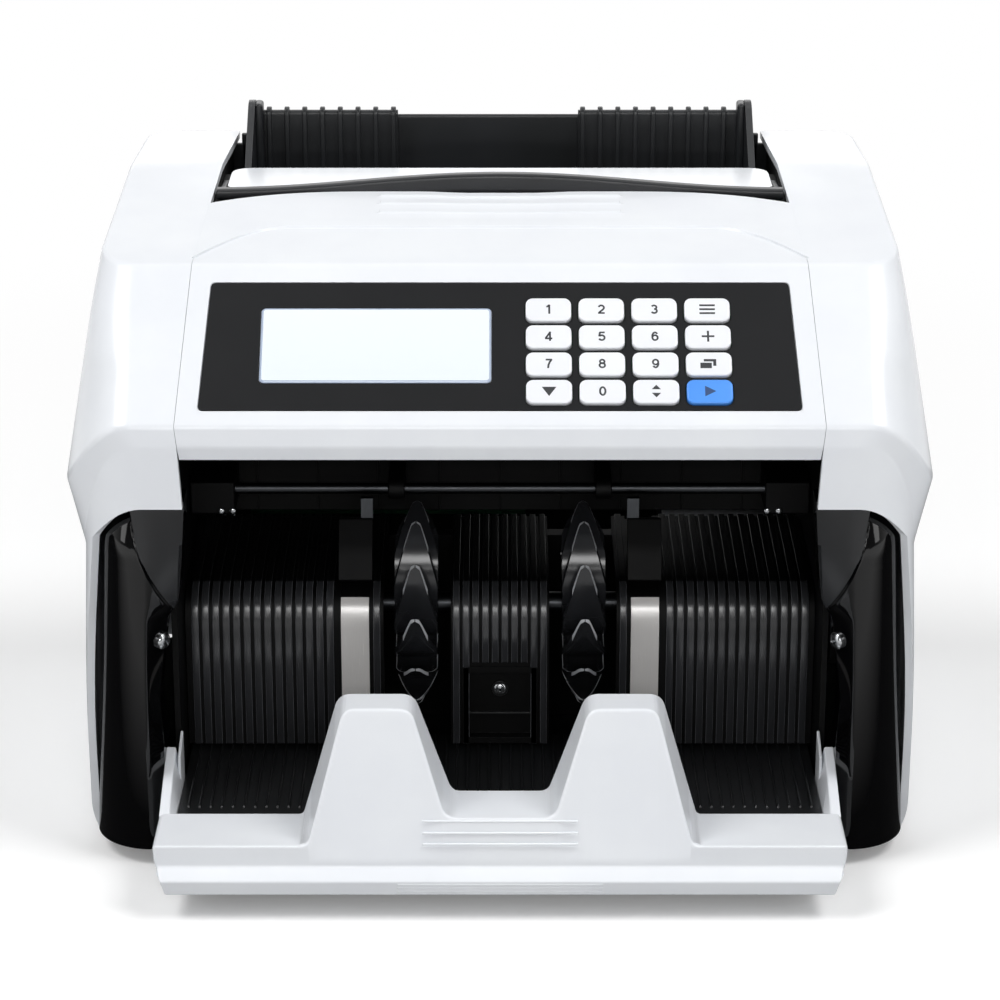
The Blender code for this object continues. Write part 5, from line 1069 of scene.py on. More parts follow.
def makeTray():
    places = sorted({round(p.x, 3) for p in trayRear + trayFront} | {i * 5.0 for i in range(23)} | {113.2})
    places = [p for i, p in enumerate(places) if (i == 0 or p - places[i - 1] > 0.02) and p < 113.5]
    rings = []
    table = [(p.x, p.y) for p in trayFront]
    for x in places:
        slope = (readOff(x + 0.05, table) - readOff(x - 0.05 if x > 0.05 else 0, table)) / 0.1
        rings.append((x, traySection(x, slope), 0.0))
    half, edge, end = traySizes["half"], traySizes["endEdge"], traySection(115.0, 0.0)
    for i in range(7):
        turn = math.pi / 2 * i / 6
        rings.append((half - edge * (1 - math.sin(turn)), end, edge * (1 - math.cos(turn))))
    loops = []
    middle = Vector(traySizes["endAim"])
    endFrom = traySizes["endFrom"]
    for x, section, inset in rings:
        ring = []
        for p in section:
            if inset:
                p = p + Vector([math.copysign(min(abs(gap), inset), gap) for gap in middle - p])
            drawn = trayEnd(p.y) * min(max((x - endFrom) / (half - endFrom), 0.0), 1.0) ** 6
            ring.append((x - drawn, p.x, p.y))
        loops.append(ring)
    left = [[at(-x, y, z) for x, y, z in ring] for ring in reversed(loops[1:])]
    right = [[at(x, y, z) for x, y, z in ring] for ring in loops]
    tray = rawPiece("stacker_tray_moulding", loftOf(left + right), finishes["whiteAbs"])
    softenEdges(tray, 0, 38)
    under, inner = traySizes["under"], traySizes["wallInner"]
    bevel, bevelHigh = traySizes["wallBevel"]
    tabInner, tabOuter, tabRise = traySizes["tab"]
    walls = []
    for side in (-1, 1):
        rings = []
        for setback in traySizes["wallSpots"]:
            top = wallTop(setback)
            low = max(traySizes["wallFoot"], top - bevelHigh)
            rings.append([at(side * x, setback, z) for x, z in
                          ((half, under), (half, top), (bevel, top), (inner, low), (inner, under))])
        walls.append(softenEdges(rawPiece("wall", loftOf(rings), finishes["whiteAbs"]), 0.5, 40))
        rings = []
        for setback in traySizes["tabSpots"]:
            top = wallTop(setback) + tabRise
            rings.append([at(side * x, setback, z) for x, z in
                          ((tabOuter, under), (tabOuter, top), (tabInner, top), (tabInner, under))])
        walls.append(softenEdges(rawPiece("tab", loftOf(rings), finishes["whiteAbs"]), 0.3, 40))
    # three raised lines on the leaning face and three on the belly
    for z in traySizes["ridgeZ"]:
        walls.append(trayRidge((trayFace(z), z), (traySizes["lean"], 1.0), traySizes["ridgeHalf"]))
    (foot, low), (knee, high) = trayChin[1:3]
    for z in traySizes["bellyZ"]:
        belly = between(foot, knee, (z - low) / (high - low))
        walls.append(trayRidge((belly, z), (knee - foot, high - low), traySizes["bellyHalf"]))
    joinInto(tray, walls)
    return mount(tray, standsFor="stacker_tray")


makeTray()
print("tray")


# Repeated forms are laid out by Geometry Nodes and baked to one mesh

def newLayout(name, inputs):
    # inputs: socket name to type, besides the unit shape and its finish
    tree = bpy.data.node_groups.new(name, "GeometryNodeTree")
    tree.interface.new_socket("Geometry", in_out="INPUT", socket_type="NodeSocketGeometry")
    for label, kind in inputs.items():
        tree.interface.new_socket(label, in_out="INPUT", socket_type=kind)
    tree.interface.new_socket("Finish", in_out="INPUT", socket_type="NodeSocketMaterial")
    tree.interface.new_socket("Geometry", in_out="OUTPUT", socket_type="NodeSocketGeometry")
    return tree, tree.nodes.new("NodeGroupInput")


def closeLayout(tree, source, instances):
    real = addNode(tree, "GeometryNodeRealizeInstances", {}, {"Geometry": (instances, 0)})
    coat = addNode(tree, "GeometryNodeSetMaterial", {},
                   {"Geometry": (real, 0), "Material": (source, "Finish")})
    addNode(tree, "NodeGroupOutput", {}, {0: (coat, 0)})
    return tree


def rowLayout():
    # copies of the unit on a straight line
    tree, source = newLayout("row of copies", {"Count": "NodeSocketInt", "Pitch": "NodeSocketVector"})
    line = addNode(tree, "GeometryNodeMeshLine", {"mode": "OFFSET"},
                   {"Count": (source, "Count"), "Offset": (source, "Pitch")})
    spread = addNode(tree, "GeometryNodeInstanceOnPoints", {},
                     {"Points": (line, 0), "Instance": (source, "Geometry")})
    return closeLayout(tree, source, spread)


def ringLayout():
    # copies of the unit turned round the X axis through zero
    tree, source = newLayout("ring of copies", {"Count": "NodeSocketInt", "Start": "NodeSocketFloat"})
    spots = addNode(tree, "GeometryNodePoints", {}, {"Count": (source, "Count")})
    index = addNode(tree, "GeometryNodeInputIndex")
    step = addNode(tree, "ShaderNodeMath", {"operation": "DIVIDE", 0: math.tau}, {1: (source, "Count")})
    turn = addNode(tree, "ShaderNodeMath", {"operation": "MULTIPLY_ADD"},
                   {0: (index, 0), 1: (step, 0), 2: (source, "Start")})
    angles = addNode(tree, "ShaderNodeCombineXYZ", {}, {"X": (turn, 0)})
    spread = addNode(tree, "GeometryNodeInstanceOnPoints", {},
                     {"Points": (spots, 0), "Instance": (source, "Geometry"), "Rotation": (angles, 0)})
    return closeLayout(tree, source, spread)


def studLayout():
    # copies of the unit on given spots, with the aim and the size that each spot carries
    tree, source = newLayout("studs on spots", {"Spots": "NodeSocketObject", "Twist": "NodeSocketFloat",
                                                "Seed": "NodeSocketInt"})
    cloud = addNode(tree, "GeometryNodeObjectInfo", {}, {"Object": (source, "Spots")})
    aim = addNode(tree, "GeometryNodeInputNamedAttribute", {"data_type": "FLOAT_VECTOR", "Name": "aim"})
    stand = addNode(tree, "FunctionNodeAlignEulerToVector", {"axis": "Z"}, {"Vector": (aim, 0)})
    size = addNode(tree, "GeometryNodeInputNamedAttribute", {"data_type": "FLOAT", "Name": "size"})
    chance = addNode(tree, "FunctionNodeRandomValue", {},
                     {"Max": (source, "Twist"), "Seed": (source, "Seed")})
    own = addNode(tree, "ShaderNodeCombineXYZ", {}, {"Z": (chance, 1)})
    both = addNode(tree, "FunctionNodeRotateEuler", {"space": "LOCAL"},
                   {"Rotation": (stand, 0), "Rotate By": (own, 0)})
    spread = addNode(tree, "GeometryNodeInstanceOnPoints", {},
                     {"Points": (cloud, "Geometry"), "Instance": (source, "Geometry"), "Rotation": (both, 0),
                      "Scale": (size, 0)})
    return closeLayout(tree, source, spread)


layouts = {"row": rowLayout(), "ring": ringLayout(), "studs": studLayout()}


def laidOut(piece, layout, values):
    # the layout's values are set before its first evaluation, then it is baked
    tree = layouts[layout]
    maker = piece.modifiers.new("layout", "NODES")
    maker.node_group = tree
    values = dict(values, Finish=piece.data.materials[0])
    for socket in tree.interface.items_tree:
        if socket.in_out == "INPUT" and socket.name in values:
            maker[socket.identifier] = values[socket.name]
    return bake(piece)


def inRow(piece, count, pitch):
    # copies along X, pitch mm apart
    return laidOut(piece, "row", {"Count": count, "Pitch": (pitch * mm, 0, 0)})


def paleEdges(piece, finish, low=0.3, high=0.92, shadeFrom=None):
    # the rounded edges, which face neither ahead nor sideways, take their own finish, a painted highlight;
    # behind a setback of shadeFrom its edges keep the piece's own finish and the rest takes the dull black,
    # as painted shade
    piece.data.materials.append(finish)
    if shadeFrom:
        piece.data.materials.append(finishes["paintedShadeBlack"])
    for face in piece.data.polygons:
        edge = low < abs(face.normal.x) < high
        if shadeFrom and face.center.y > at(0, shadeFrom, 0).y:
            face.material_index = 0 if edge else len(piece.data.materials) - 1
        elif edge:
            face.material_index = 1


# Stacker floor

floorSizes = {
    "half": 109.7,
    "front": -11.3,
    "rear": 57.8,
    "z": 24.0,
    "under": 21.6,
    "pitch": 3.8,
    "count": 57,
    "ribWidth": 0.95,
    "ribRise": 0.8,
    "ribFront": -3.5,
    "leg": ((104.1, -11.0, 8.4), (106.3, 57.5, 21.9)),  # low and high corner
}


def makeFloor():
    low, high, side = floorSizes["under"], floorSizes["z"], floorSizes["half"]
    plate = block("stacker_floor_plate", (-side, floorSizes["front"], low), (side, floorSizes["rear"], high),
                  finishes["blackAbs"])
    softenEdges(plate, 0.3, 40, 2)
    first = -floorSizes["pitch"] * (floorSizes["count"] - 1) / 2
    half, rise = floorSizes["ribWidth"] / 2, floorSizes["ribRise"]
    section = [(-half, -0.1), (-half, rise * 0.45), (-half * 0.62, rise * 0.9), (0, rise),
               (half * 0.62, rise * 0.9), (half, rise * 0.45), (half, -0.1)]
    start = floorSizes["ribFront"]
    ends = ((start, 0.02), (start + 0.25, 0.7), (start + 0.7, 1.0), (floorSizes["rear"] - 0.4, 1.0))
    rings = [[at(first + x, setback, high + (z * share if z > 0 else z)) for x, z in section]
             for setback, share in ends]
    rib = evenShade(rawPiece("floor_rib", loftOf(rings), finishes["blackAbs"]), 50)
    inRow(rib, floorSizes["count"], floorSizes["pitch"])
    legs = [sideBlock("leg", side, *floorSizes["leg"], finishes["blackAbs"]) for side in (-1, 1)]
    joinInto(plate, [rib] + legs)
    mount(plate, standsFor="stacker_floor")


makeFloor()
print("floor")


# Back guides

guideSizes = {
    "inner": 41.0,
    "outer": 110.6,
    "channel": (46.0, 56.0),
    "channelSink": 1.25,
    "wall": 2.5,
    "ribWidth": 2.45,
    "ribRise": 0.8,
    "ribRound": 0.28,
    "innerRib": 43.35,
    "firstRib": 59.725,
    "ribPitch": 3.65,
    "ribCount": 14,
    "paintedShadeFrom": 57.5,     # ribs behind this setback take painted shade
    "bracket": (44.95, 57.05),
    "tab": (44.9, 49.2),
    "stripTop": 80.2,
    "stripFit": 0.05,
    "stripSink": 0.04,
}
guideLine = softPath([(47.8, 25.1), (47.8, 72.4), (51.04, 80.1), (58.6, 83.4), (118.0, 85.5)], [4.0] * 3, 6)
bracketLine = softPath([(60.0, 81.2), (57.2, 83.7), (60.7, 93.4), (67.4, 103.2), (69.2, 103.2), (64.6, 93.4),
                        (66.6, 81.0)], (0.5, 3.0, 0.6, 0.6, 3.0), 4)
tabLine = [(68.0, 102.6), (68.0, 110.4), (69.0, 111.0), (69.6, 110.4), (68.7, 109.8), (68.7, 102.6)]


def lineNormals(line):
    # outward directions along a line of setback and Z: to the front and up
    runs = [(b - a).normalized() for a, b in zip(line, line[1:])]
    found = []
    for i in range(len(line)):
        before, after = runs[max(i - 1, 0)], runs[min(i, len(runs) - 1)]
        middle = (Vector((-before.y, before.x)) + Vector((-after.y, after.x))).normalized()
        found.append(middle / max(middle.dot(Vector((-before.y, before.x))), 0.5))
    return found


def sweptAlong(name, line, section, finish, side=1, ends=None):
    # section: X and rise above the line; ends: share of the rise at the first and last spots
    rings = []
    for i, (p, n) in enumerate(zip(line, lineNormals(line))):
        share = (ends or {}).get(i, 1.0)
        raised = [(x, r * share if r > 0 else r) for x, r in section]
        rings.append([at(side * x, p.x + n.x * r, p.y + n.y * r) for x, r in raised])
    return rawPiece(name, loftOf(rings), finish)


def ribSection(middle, width, rise, round_):
    half = width / 2
    corner = softPath([(half, -0.15), (half, rise), (0, rise)], (round_,), 4)
    right = [(middle + p.x, p.y) for p in corner[:-1]]
    left = [(2 * middle - x, y) for x, y in reversed(right)]
    return right + left


def guideRib(middle, side, width=guideSizes["ribWidth"], foot=guideLine[0].y, start=0.25, swell=0.4):
    # rib down the guide line; it swells up from its foot within a short way
    section = ribSection(middle, width, guideSizes["ribRise"], guideSizes["ribRound"])
    line = [Vector((guideLine[0].x, foot + up)) for up in (0.0, 0.12, swell)] + guideLine[1:]
    rib = sweptAlong("rib", line, section, finishes["ribBlack"], side, {0: start, 1: 0.75})
    return evenShade(rib, 55)


def makeBackGuide(name, side, node):
    inner, outer = guideSizes["inner"], guideSizes["outer"]
    left, right = guideSizes["channel"]
    sink, wall = guideSizes["channelSink"], guideSizes["wall"]
    section = [(inner, 0), (left, 0), (left, -sink), (right, -sink), (right, 0), (outer, 0), (outer, -wall),
               (inner, -wall)]
    # the guide's wall takes the dull black, painted shade behind its ribs
    base = evenShade(sweptAlong(name, guideLine, section, finishes["paintedShadeBlack"], side), 35)
    ribs = guideRib(guideSizes["firstRib"], side)
    inRow(ribs, guideSizes["ribCount"], side * guideSizes["ribPitch"])
    lone = guideRib(guideSizes["innerRib"], side)
    for rib in (ribs, lone):
        paleEdges(rib, finishes["ribEdgeHighlight"], shadeFrom=guideSizes["paintedShadeFrom"])
    arm = slab("bracket", bracketLine, guideSizes["bracket"], finishes["paintedShadeBlack"], side)
    joinInto(base, [ribs, lone, softenEdges(arm, 0.35, 45, 2)])
    mount(base, standsFor=node)
    # bent spring tab on top of the bracket
    tab = slab(name + "_tab", tabLine, guideSizes["tab"], finishes["springTab"], side)
    mount(softenEdges(tab, 0.12, 45, 2))


def makeStrip(name, side, node):
    low, high = guideSizes["channel"]
    line = [p for p in guideLine if p.y <= guideSizes["stripTop"]]
    line[0] = line[0] + Vector((0, 0.3))
    fit, sink = guideSizes["stripFit"], guideSizes["stripSink"]
    left = [(low + fit, -0.95), (low + fit, -sink - 0.08), (low + fit + 0.08, -sink)]
    section = left + [(low + high - x, rise) for x, rise in reversed(left)]
    strip = sweptAlong(name, line, section, finishes["stripSteel"], side)
    mount(evenShade(strip, 40), standsFor=node)


for side, word in ((-1, "left"), (1, "right")):
    makeBackGuide(word + "_guide_wall", side, word + "_back_guide")
    makeStrip(word + "_steel_band", side, word + "_steel_strip")
print("guides and strips")


# Centre guide

centreSizes = {
    "half": 17.35,
    "ribPitch": 3.42,
    "ribCount": 10,
    "boxHalf": 13.4,
    "pocketHalf": 11.0,
    "pocket": (44.0, 27.8, 50.8, 52.4),   # front, low, rear and high
    "shelfZ": 36.0,
    "shelfFront": 49.6,
    "shelfThick": 0.7,
    "floor": 51.0,        # setback of the pocket's floor, with a little overlap
    "housing": (47.0, 25.4, 53.2, 54.8),  # front, low, rear and high
    "boss": (45.1, 2.9, 50.2),            # Z, radius and front
    "innerEndZ": 56.4,
    "ribWidth": 2.3,
}


def makeCentreGuide():
    half, wall = centreSizes["half"], guideSizes["wall"]
    # the centre guide's wall takes the dull black, painted shade
    base = sweptAlong("centre_guide_wall", guideLine, [(-half, 0), (half, 0), (half, -wall), (-half, -wall)],
                      finishes["paintedShadeBlack"])
    boxHalf, pocketHalf = centreSizes["boxHalf"], centreSizes["pocketHalf"]
    front, low, rear, high = centreSizes["housing"]
    housing = block("housing", (-boxHalf, front, low), (boxHalf, rear, high), finishes["blackAbs"])
    carve(base, [housing], "UNION")
    front, low, rear, high = centreSizes["pocket"]
    carve(base, [block("pocket", (-pocketHalf, front, low), (pocketHalf, rear, high))])
    softenEdges(base, 0.25, 50, 2)
    # the inner ribs end above the pocket, two on each side run down to the foot
    pitch, count, width = centreSizes["ribPitch"], centreSizes["ribCount"], centreSizes["ribWidth"]
    first = -pitch * (count - 1) / 2
    upper = guideRib(first + 2 * pitch, 1, width, centreSizes["innerEndZ"], 0.2, 0.45)
    parts = [inRow(upper, count - 4, pitch)]
    parts += [inRow(guideRib(first + skip * pitch, 1, width), 2, pitch) for skip in (0, count - 2)]
    for rib in parts:
        paleEdges(rib, finishes["ribEdgeHighlight"], shadeFrom=guideSizes["paintedShadeFrom"])
    # shelf across the pocket and the boss of its screw
    floor, shelfZ, half = centreSizes["floor"], centreSizes["shelfZ"], centreSizes["shelfThick"] / 2
    shelf = block("shelf", (-pocketHalf - 0.2, centreSizes["shelfFront"], shelfZ - half),
                  (pocketHalf + 0.2, floor, shelfZ + half), finishes["blackAbs"])
    parts.append(softenEdges(shelf, 0.15, 40, 2))
    z, radius, front = centreSizes["boss"]
    rings = [[at(u, y, z + v) for u, v in circlePoints(radius, 40)] for y in (front, floor)]
    parts.append(softenEdges(rawPiece("boss", loftOf(rings), finishes["blackAbs"]), 0.2, 40, 2))
    joinInto(base, parts)
    mount(base, standsFor="centre_back_guide")


makeCentreGuide()
print("centre guide")


# Wall above the pocket

upperSizes = {
    "half": 110.6,
    "ceiling": 146.5,
    "front": 16.2,
    "wall": 101.5,
    "foot": 93.9,
    "thick": 2.4,
    "shaft": (83.0, 109.0),
    "shaftRadius": 2.0,
    "shaftHalf": 97.0,
    "eyeRadius": 3.8,
    "hanger": (34.05, 39.95),
    "endBlock": (94.6, 78.6, 100.6, 112.7),  # inner X, front, low and high
    "ribPitch": 22.0,
    "ribCount": 9,
    "ribHalf": 0.35,
}


def makeUpperGuide():
    half, thick = upperSizes["half"], upperSizes["thick"]
    front, wall = upperSizes["front"], upperSizes["wall"]
    ceiling, foot = upperSizes["ceiling"], upperSizes["foot"]
    inside = softPath([(front, ceiling), (wall, ceiling), (wall, foot)], (5.0,), 6)
    outline = inside + [(wall + thick, foot), (wall + thick, ceiling + thick), (front, ceiling + thick)]
    # the wall above the pocket takes the dull black, painted shade
    guide = softenEdges(slab("upper_guide_wall", outline, (-half, half), finishes["paintedShadeBlack"]), 0.3, 50, 2)
    back, high = upperSizes["shaft"]
    radius = upperSizes["eyeRadius"]
    eye = [(back + radius * math.cos(a), high + radius * math.sin(a))
           for a in [math.pi / 2 + math.pi * i / 24 for i in range(25)]]
    root = wall + 0.4
    inX, start, low, top = upperSizes["endBlock"]
    parts = []
    for side in (-1, 1):
        outline = eye + [(root, high - radius), (root, high + radius)]
        hanger = slab("hanger", outline, upperSizes["hanger"], finishes["paintedShadeBlack"], side)
        parts.append(softenEdges(hanger, 0.45, 40))
        end = block("end_block", (side * inX, start, low), (side * half, root, top), finishes["paintedShadeBlack"])
        parts.append(softenEdges(end, 0.8, 40))
    # stiffening ribs down the rear wall
    count, pitch = upperSizes["ribCount"], upperSizes["ribPitch"]
    first, ribHalf = -pitch * (count - 1) / 2, upperSizes["ribHalf"]
    rib = block("wall_rib", (first - ribHalf, wall - 0.7, foot + 0.4),
                (first + ribHalf, wall + 0.2, ceiling - 6.0), finishes["paintedShadeBlack"])
    parts.append(inRow(softenEdges(rib, 0.2, 40, 2), count, pitch))
    joinInto(guide, parts)
    mount(guide, standsFor="upper_guide")
    reach, r = upperSizes["shaftHalf"], upperSizes["shaftRadius"]
    rings = [[at(x, back + u, high + v) for u, v in circlePoints(radius, 40)]
             for x, radius in ((-reach, r - 0.5), (-reach + 0.5, r), (reach - 0.5, r), (reach, r - 0.5))]
    bar = evenShade(rawPiece("note_guide_shaft", loftOf(rings), finishes["darkShaft"]), 40)
    mount(bar, standsFor="guide_shaft")


makeUpperGuide()
print("upper guide")


# Stacking wheels

wheelSizes = {
    "middle": 29.6,
    "setback": 73.0,
    "z": 69.0,
    "radius": 36.9,
    "hub": 13.0,
    "half": 7.6,
    "tipHalf": 1.15,
    "fins": 12,
    "sweep": 62.0,
    "phase": 18.0,
    "bore": 4.4,
    "bladeTurn": 30.0,         # degrees that the shares of the two thicknesses count
    "thick": (0.30, 0.035),    # at the root and at the tip
    "taperFrom": 0.38,
    "roundFrom": 0.955,
}
# section across a blade: X as a share of the flank from the side, and depth; leading face last
bladeFlank = ((0.0, -1.0), (0.0, 0.55), (0.35, 0.88), (1.0, 1.0))


def finRings():
    # blade that trails behind the turn and narrows to a round tip
    rings = []
    steps = 26
    taper = wheelSizes["taperFrom"]
    for step in range(steps + 1):
        share = step / steps
        tip = min((1 - share) / (1 - wheelSizes["roundFrom"]), 1.0)
        roundness = math.sqrt(max(1 - (1 - tip) ** 2, 0.02))
        radius = between(wheelSizes["hub"] - 0.6, wheelSizes["radius"], share ** 0.7)
        middle = math.radians(wheelSizes["sweep"]) * (1 - share) ** 1.3
        spread = math.radians(wheelSizes["bladeTurn"]) * between(*wheelSizes["thick"], share ** 0.5)
        narrow = max(share - taper, 0.0) / (1 - taper)
        half = between(wheelSizes["half"], wheelSizes["tipHalf"], narrow) * roundness
        thick = spread * (0.6 + 0.4 * roundness)
        flank = min(0.5, half * 0.4)
        left = [(-half + flank * x, depth) for x, depth in bladeFlank]
        # a shallow ridge runs along the middle of the leading face
        section = []
        for x, depth in left + [(0.0, 1.06)] + [(-x, depth) for x, depth in reversed(left)] + [(0.0, -1.0)]:
            angle = middle - depth * thick
            section.append(Vector((x * mm, -radius * math.sin(angle) * mm, radius * math.cos(angle) * mm)))
        rings.append(section)
    return rings


def makeWheel(name, side, node):
    fin = rawPiece("fin", loftOf(finRings()), finishes["wheelBlack"])
    evenShade(fin, 38)
    laidOut(fin, "ring", {"Count": wheelSizes["fins"], "Start": math.radians(wheelSizes["phase"])})
    # the blades' edges take the pale finish, a painted highlight
    paleEdges(fin, finishes["wheelEdgeHighlight"], 0.15, 0.88)
    half, hub, bore = wheelSizes["half"], wheelSizes["hub"], wheelSizes["bore"]
    left = [(-half, bore), (-half, hub - 2.0), (-half + 0.8, hub - 0.4), (-half + 1.4, hub)]
    profile = left + [(-x, radius) for x, radius in reversed(left)]
    rings = [[Vector((x, u, v)) * mm for u, v in circlePoints(radius, 64)] for x, radius in profile]
    core = rawPiece("core", loftOf(rings + [rings[0]], capped=False), finishes["wheelBlack"])
    joinInto(fin, [evenShade(core, 30)])
    hubPlace = at(side * wheelSizes["middle"], wheelSizes["setback"], wheelSizes["z"])
    fin.data.transform(Matrix.Translation(hubPlace))
    fin.name = name
    mount(fin, body=frame["nodes"][node]["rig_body"], standsFor=node)


makeWheel("left_stacking_wheel", -1, "left_impeller")
makeWheel("right_stacking_wheel", 1, "right_impeller")
print("wheels")


# Hopper

hopperSizes = {
    "lipHalf": 95.7,
    "lipFront": 115.6,
    "lipRear": 145.9,
    "lipTop": 211.0,
    "lipLow": 208.6,
    "lipCorner": 9.5,
    "plateTop": 222.8,
    "plateFront": 184.8,
    "plateRear": 187.6,
    "plateLow": 177.6,
    "plateOuter": 92.0,
    "lipRound": 1.5,
    "frontCorner": 3.2,
    "rearHalf": 90.4,
    "shoulders": ((97.4, 213.2), (104.0, 209.4)),                # half width and top
    "wing": ((88.0, 188.1, 194.6), (110.6, 190.4, 199.4)),       # low and high corner
    "web": ((88.6, 179.5, 186.5), (92.0, 187.5, 226.6)),
    "ribWidth": 1.9,
    "ribRise": 1.15,
    "earIn": 91.4,
    "earOut": 93.9,
}
# ear: a thin blade that borders the notes, with a step near its foot
earLine = softPath([(187.6, 178.0), (182.4, 185.2), (151.2, 169.6), (150.9, 203.2), (151.8, 204.0),
                    (152.6, 207.2), (179.6, 227.2), (185.6, 227.2), (187.6, 224.6), (187.6, 178.0)],
                   (0.5, 0.5, 0.4, 0.4, 1.0, 3.4, 2.0, 1.2), 6)[:-1]


def makeLip():
    # top plate in front of the notes; its front edge carries a soft roll
    half, front, rear = hopperSizes["lipHalf"], hopperSizes["lipFront"], hopperSizes["lipRear"]
    top, low = hopperSizes["lipTop"], hopperSizes["lipLow"]
    loop = [(0, rear), (half, rear), (half, front), (-half, front), (-half, rear), (0, rear)]

    def outline(grow):
        grown = [(x + math.copysign(grow, x) if x else 0, y + (grow if y == rear else -grow))
                 for x, y in loop]
        corner, small = hopperSizes["lipCorner"] + grow, hopperSizes["frontCorner"] + grow
        return softPath(grown, (corner, small, small, corner), 8)[:-1]
    rings = [[at(p.x, p.y, low) for p in outline(0.0)]]
    edge = hopperSizes["lipRound"]
    for step in range(9):
        turn = math.pi / 2 * step / 8
        z = top - edge + edge * math.sin(turn)
        rings.append([at(p.x, p.y, z) for p in outline(-edge * (1 - math.cos(turn)))])
    lip = evenShade(rawPiece("hopper_lip_plate", loftOf(rings), finishes["whiteAbs"]), 60)
    mount(lip, standsFor="hopper_lip")


def makeBackPlate():
    path = softPath([(190.4, 190.0), (190.4, 220.5), (188.1, 220.5), (188.1, 184.0)], (1.1, 1.1), 5)
    half = hopperSizes["rearHalf"]
    plate = slab("hopper_rear_wall", path + [(190.4, 184.0)], (-half, half), finishes["satinBlack"])
    softenEdges(plate, 0.3, 50, 2)
    wings = []
    for half, top in hopperSizes["shoulders"]:
        shoulder = block("shoulder", (-half, 188.2, 184.0), (half, 190.3, top), finishes["satinBlack"])
        wings.append(softenEdges(shoulder, 0.5, 40))
    wings += [sideBlock("wing", side, *hopperSizes["wing"], finishes["satinBlack"]) for side in (-1, 1)]
    joinInto(plate, wings)
    mount(plate, standsFor="hopper_back_plate")


def makeHopperGuide(name, side, inner, count, pitch, node):
    front, rear = hopperSizes["plateFront"], hopperSizes["plateRear"]
    top, low = hopperSizes["plateTop"], hopperSizes["plateLow"]
    corners = [(rear, low), (front, low), (front, top), (rear, top), (rear, low)]
    outline = softPath(corners, (0.3, 1.7, 1.0), 6)[:-1]
    plate = slab(name, outline, (inner, hopperSizes["plateOuter"]), finishes["satinBlack"], side)
    softenEdges(plate, 0.45, 50)
    path = softPath([(front, low + 0.3), (front, top), (rear - 0.2, top)], (1.7,), 7)
    path.insert(-1, path[-1] + Vector((-0.35, 0)))
    section = ribSection(inner + 1.7, hopperSizes["ribWidth"], hopperSizes["ribRise"], 0.45)
    rib = evenShade(sweptAlong("rib", path, section, finishes["satinBlack"], side, {len(path) - 1: 0.25}), 60)
    inRow(rib, count, side * pitch)
    ear = slab("ear", earLine, (hopperSizes["earIn"], hopperSizes["earOut"]), finishes["satinBlack"], side)
    web = sideBlock("web", side, *hopperSizes["web"], finishes["satinBlack"])
    joinInto(plate, [rib, softenEdges(ear, 0.9, 60, 4), softenEdges(web, 1.2, 40)])
    mount(plate, body=frame["nodes"][node]["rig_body"], standsFor=node)


makeLip()
makeBackPlate()
makeHopperGuide("left_note_guide", -1, 38.3, 8, 6.66, "left_hopper_guide")
makeHopperGuide("right_note_guide", 1, 29.3, 9, 6.62, "right_hopper_guide")
print("hopper")


# Carry handle

handleSizes = {
    "half": 100.5,
    "front": 109.6,
    "deep": 4.8,
    "low": 208.0,
    "thick": 3.8,
    "swell": 4.4,
    "arch": 1.2,
    "pivot": (132.0, 206.2),
    "eye": 3.3,
    "arm": (97.6, 99.8),
    "armFront": (109.9, 208.2, 211.2),  # setback, low and high
    "pin": (99.4, 102.1),
    "pinRadius": 1.95,
}


def makeHandle():
    front, rear = handleSizes["front"], handleSizes["front"] + handleSizes["deep"]
    middle, half = (front + rear) / 2, handleSizes["half"]
    rings = []
    steps = 64
    for step in range(steps + 1):
        share = step / steps
        swell = math.sin(math.pi * share) ** 2
        low = handleSizes["low"] + handleSizes["arch"] * swell
        high = low + handleSizes["thick"] + handleSizes["swell"] * swell
        loop = [(middle, low), (rear, low), (rear, high), (front, high), (front, low), (middle, low)]
        spots = softPath(loop, (0.9, 0.9, 1.5, 1.2), 4)[:-1]
        rings.append([at(between(-half, half, share), p.x, p.y) for p in spots])
    bar = evenShade(rawPiece("carry_handle_bar", loftOf(rings), finishes["handleGrey"]), 60)
    back, high = handleSizes["pivot"]
    start, low, top = handleSizes["armFront"]
    eye = [(back + handleSizes["eye"] * math.cos(a), high + handleSizes["eye"] * math.sin(a))
           for a in [-math.pi / 2 + math.pi * i / 20 for i in range(21)]]
    pinRound = [(back + u, high + v) for u, v in circlePoints(handleSizes["pinRadius"], 32)]
    armLine = eye + [(start, top), (start, low)]
    parts = []
    for side in (-1, 1):
        arm = slab("arm", armLine, handleSizes["arm"], finishes["handleGrey"], side)
        pin = slab("pin", pinRound, handleSizes["pin"], finishes["handleGrey"], side)
        parts += [softenEdges(arm, 0.5, 40), evenShade(pin)]
    joinInto(bar, parts)
    mount(bar, body=frame["nodes"]["carry_handle"]["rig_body"], standsFor="carry_handle")


makeHandle()
print("handle")


# Pieces that keep the solid's form: a copy of it gets small rounds and its own finish

def dressed(node, name, finish, width, angle=40, merge=0.6):
    # faces within merge degrees of each other become one first
    source = bpy.data.objects[node]
    shape = bmesh.new()
    shape.from_mesh(source.data)
    shape.transform(source.matrix_world)
    bmesh.ops.remove_doubles(shape, verts=shape.verts, dist=0.003 * mm)
    if merge:
        bmesh.ops.dissolve_limit(shape, angle_limit=math.radians(merge), verts=shape.verts, edges=shape.edges)
    piece = softenEdges(rawPiece(name, shape, finish), width, angle, 2)
    mount(piece, body=frame["nodes"][node]["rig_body"], standsFor=node)
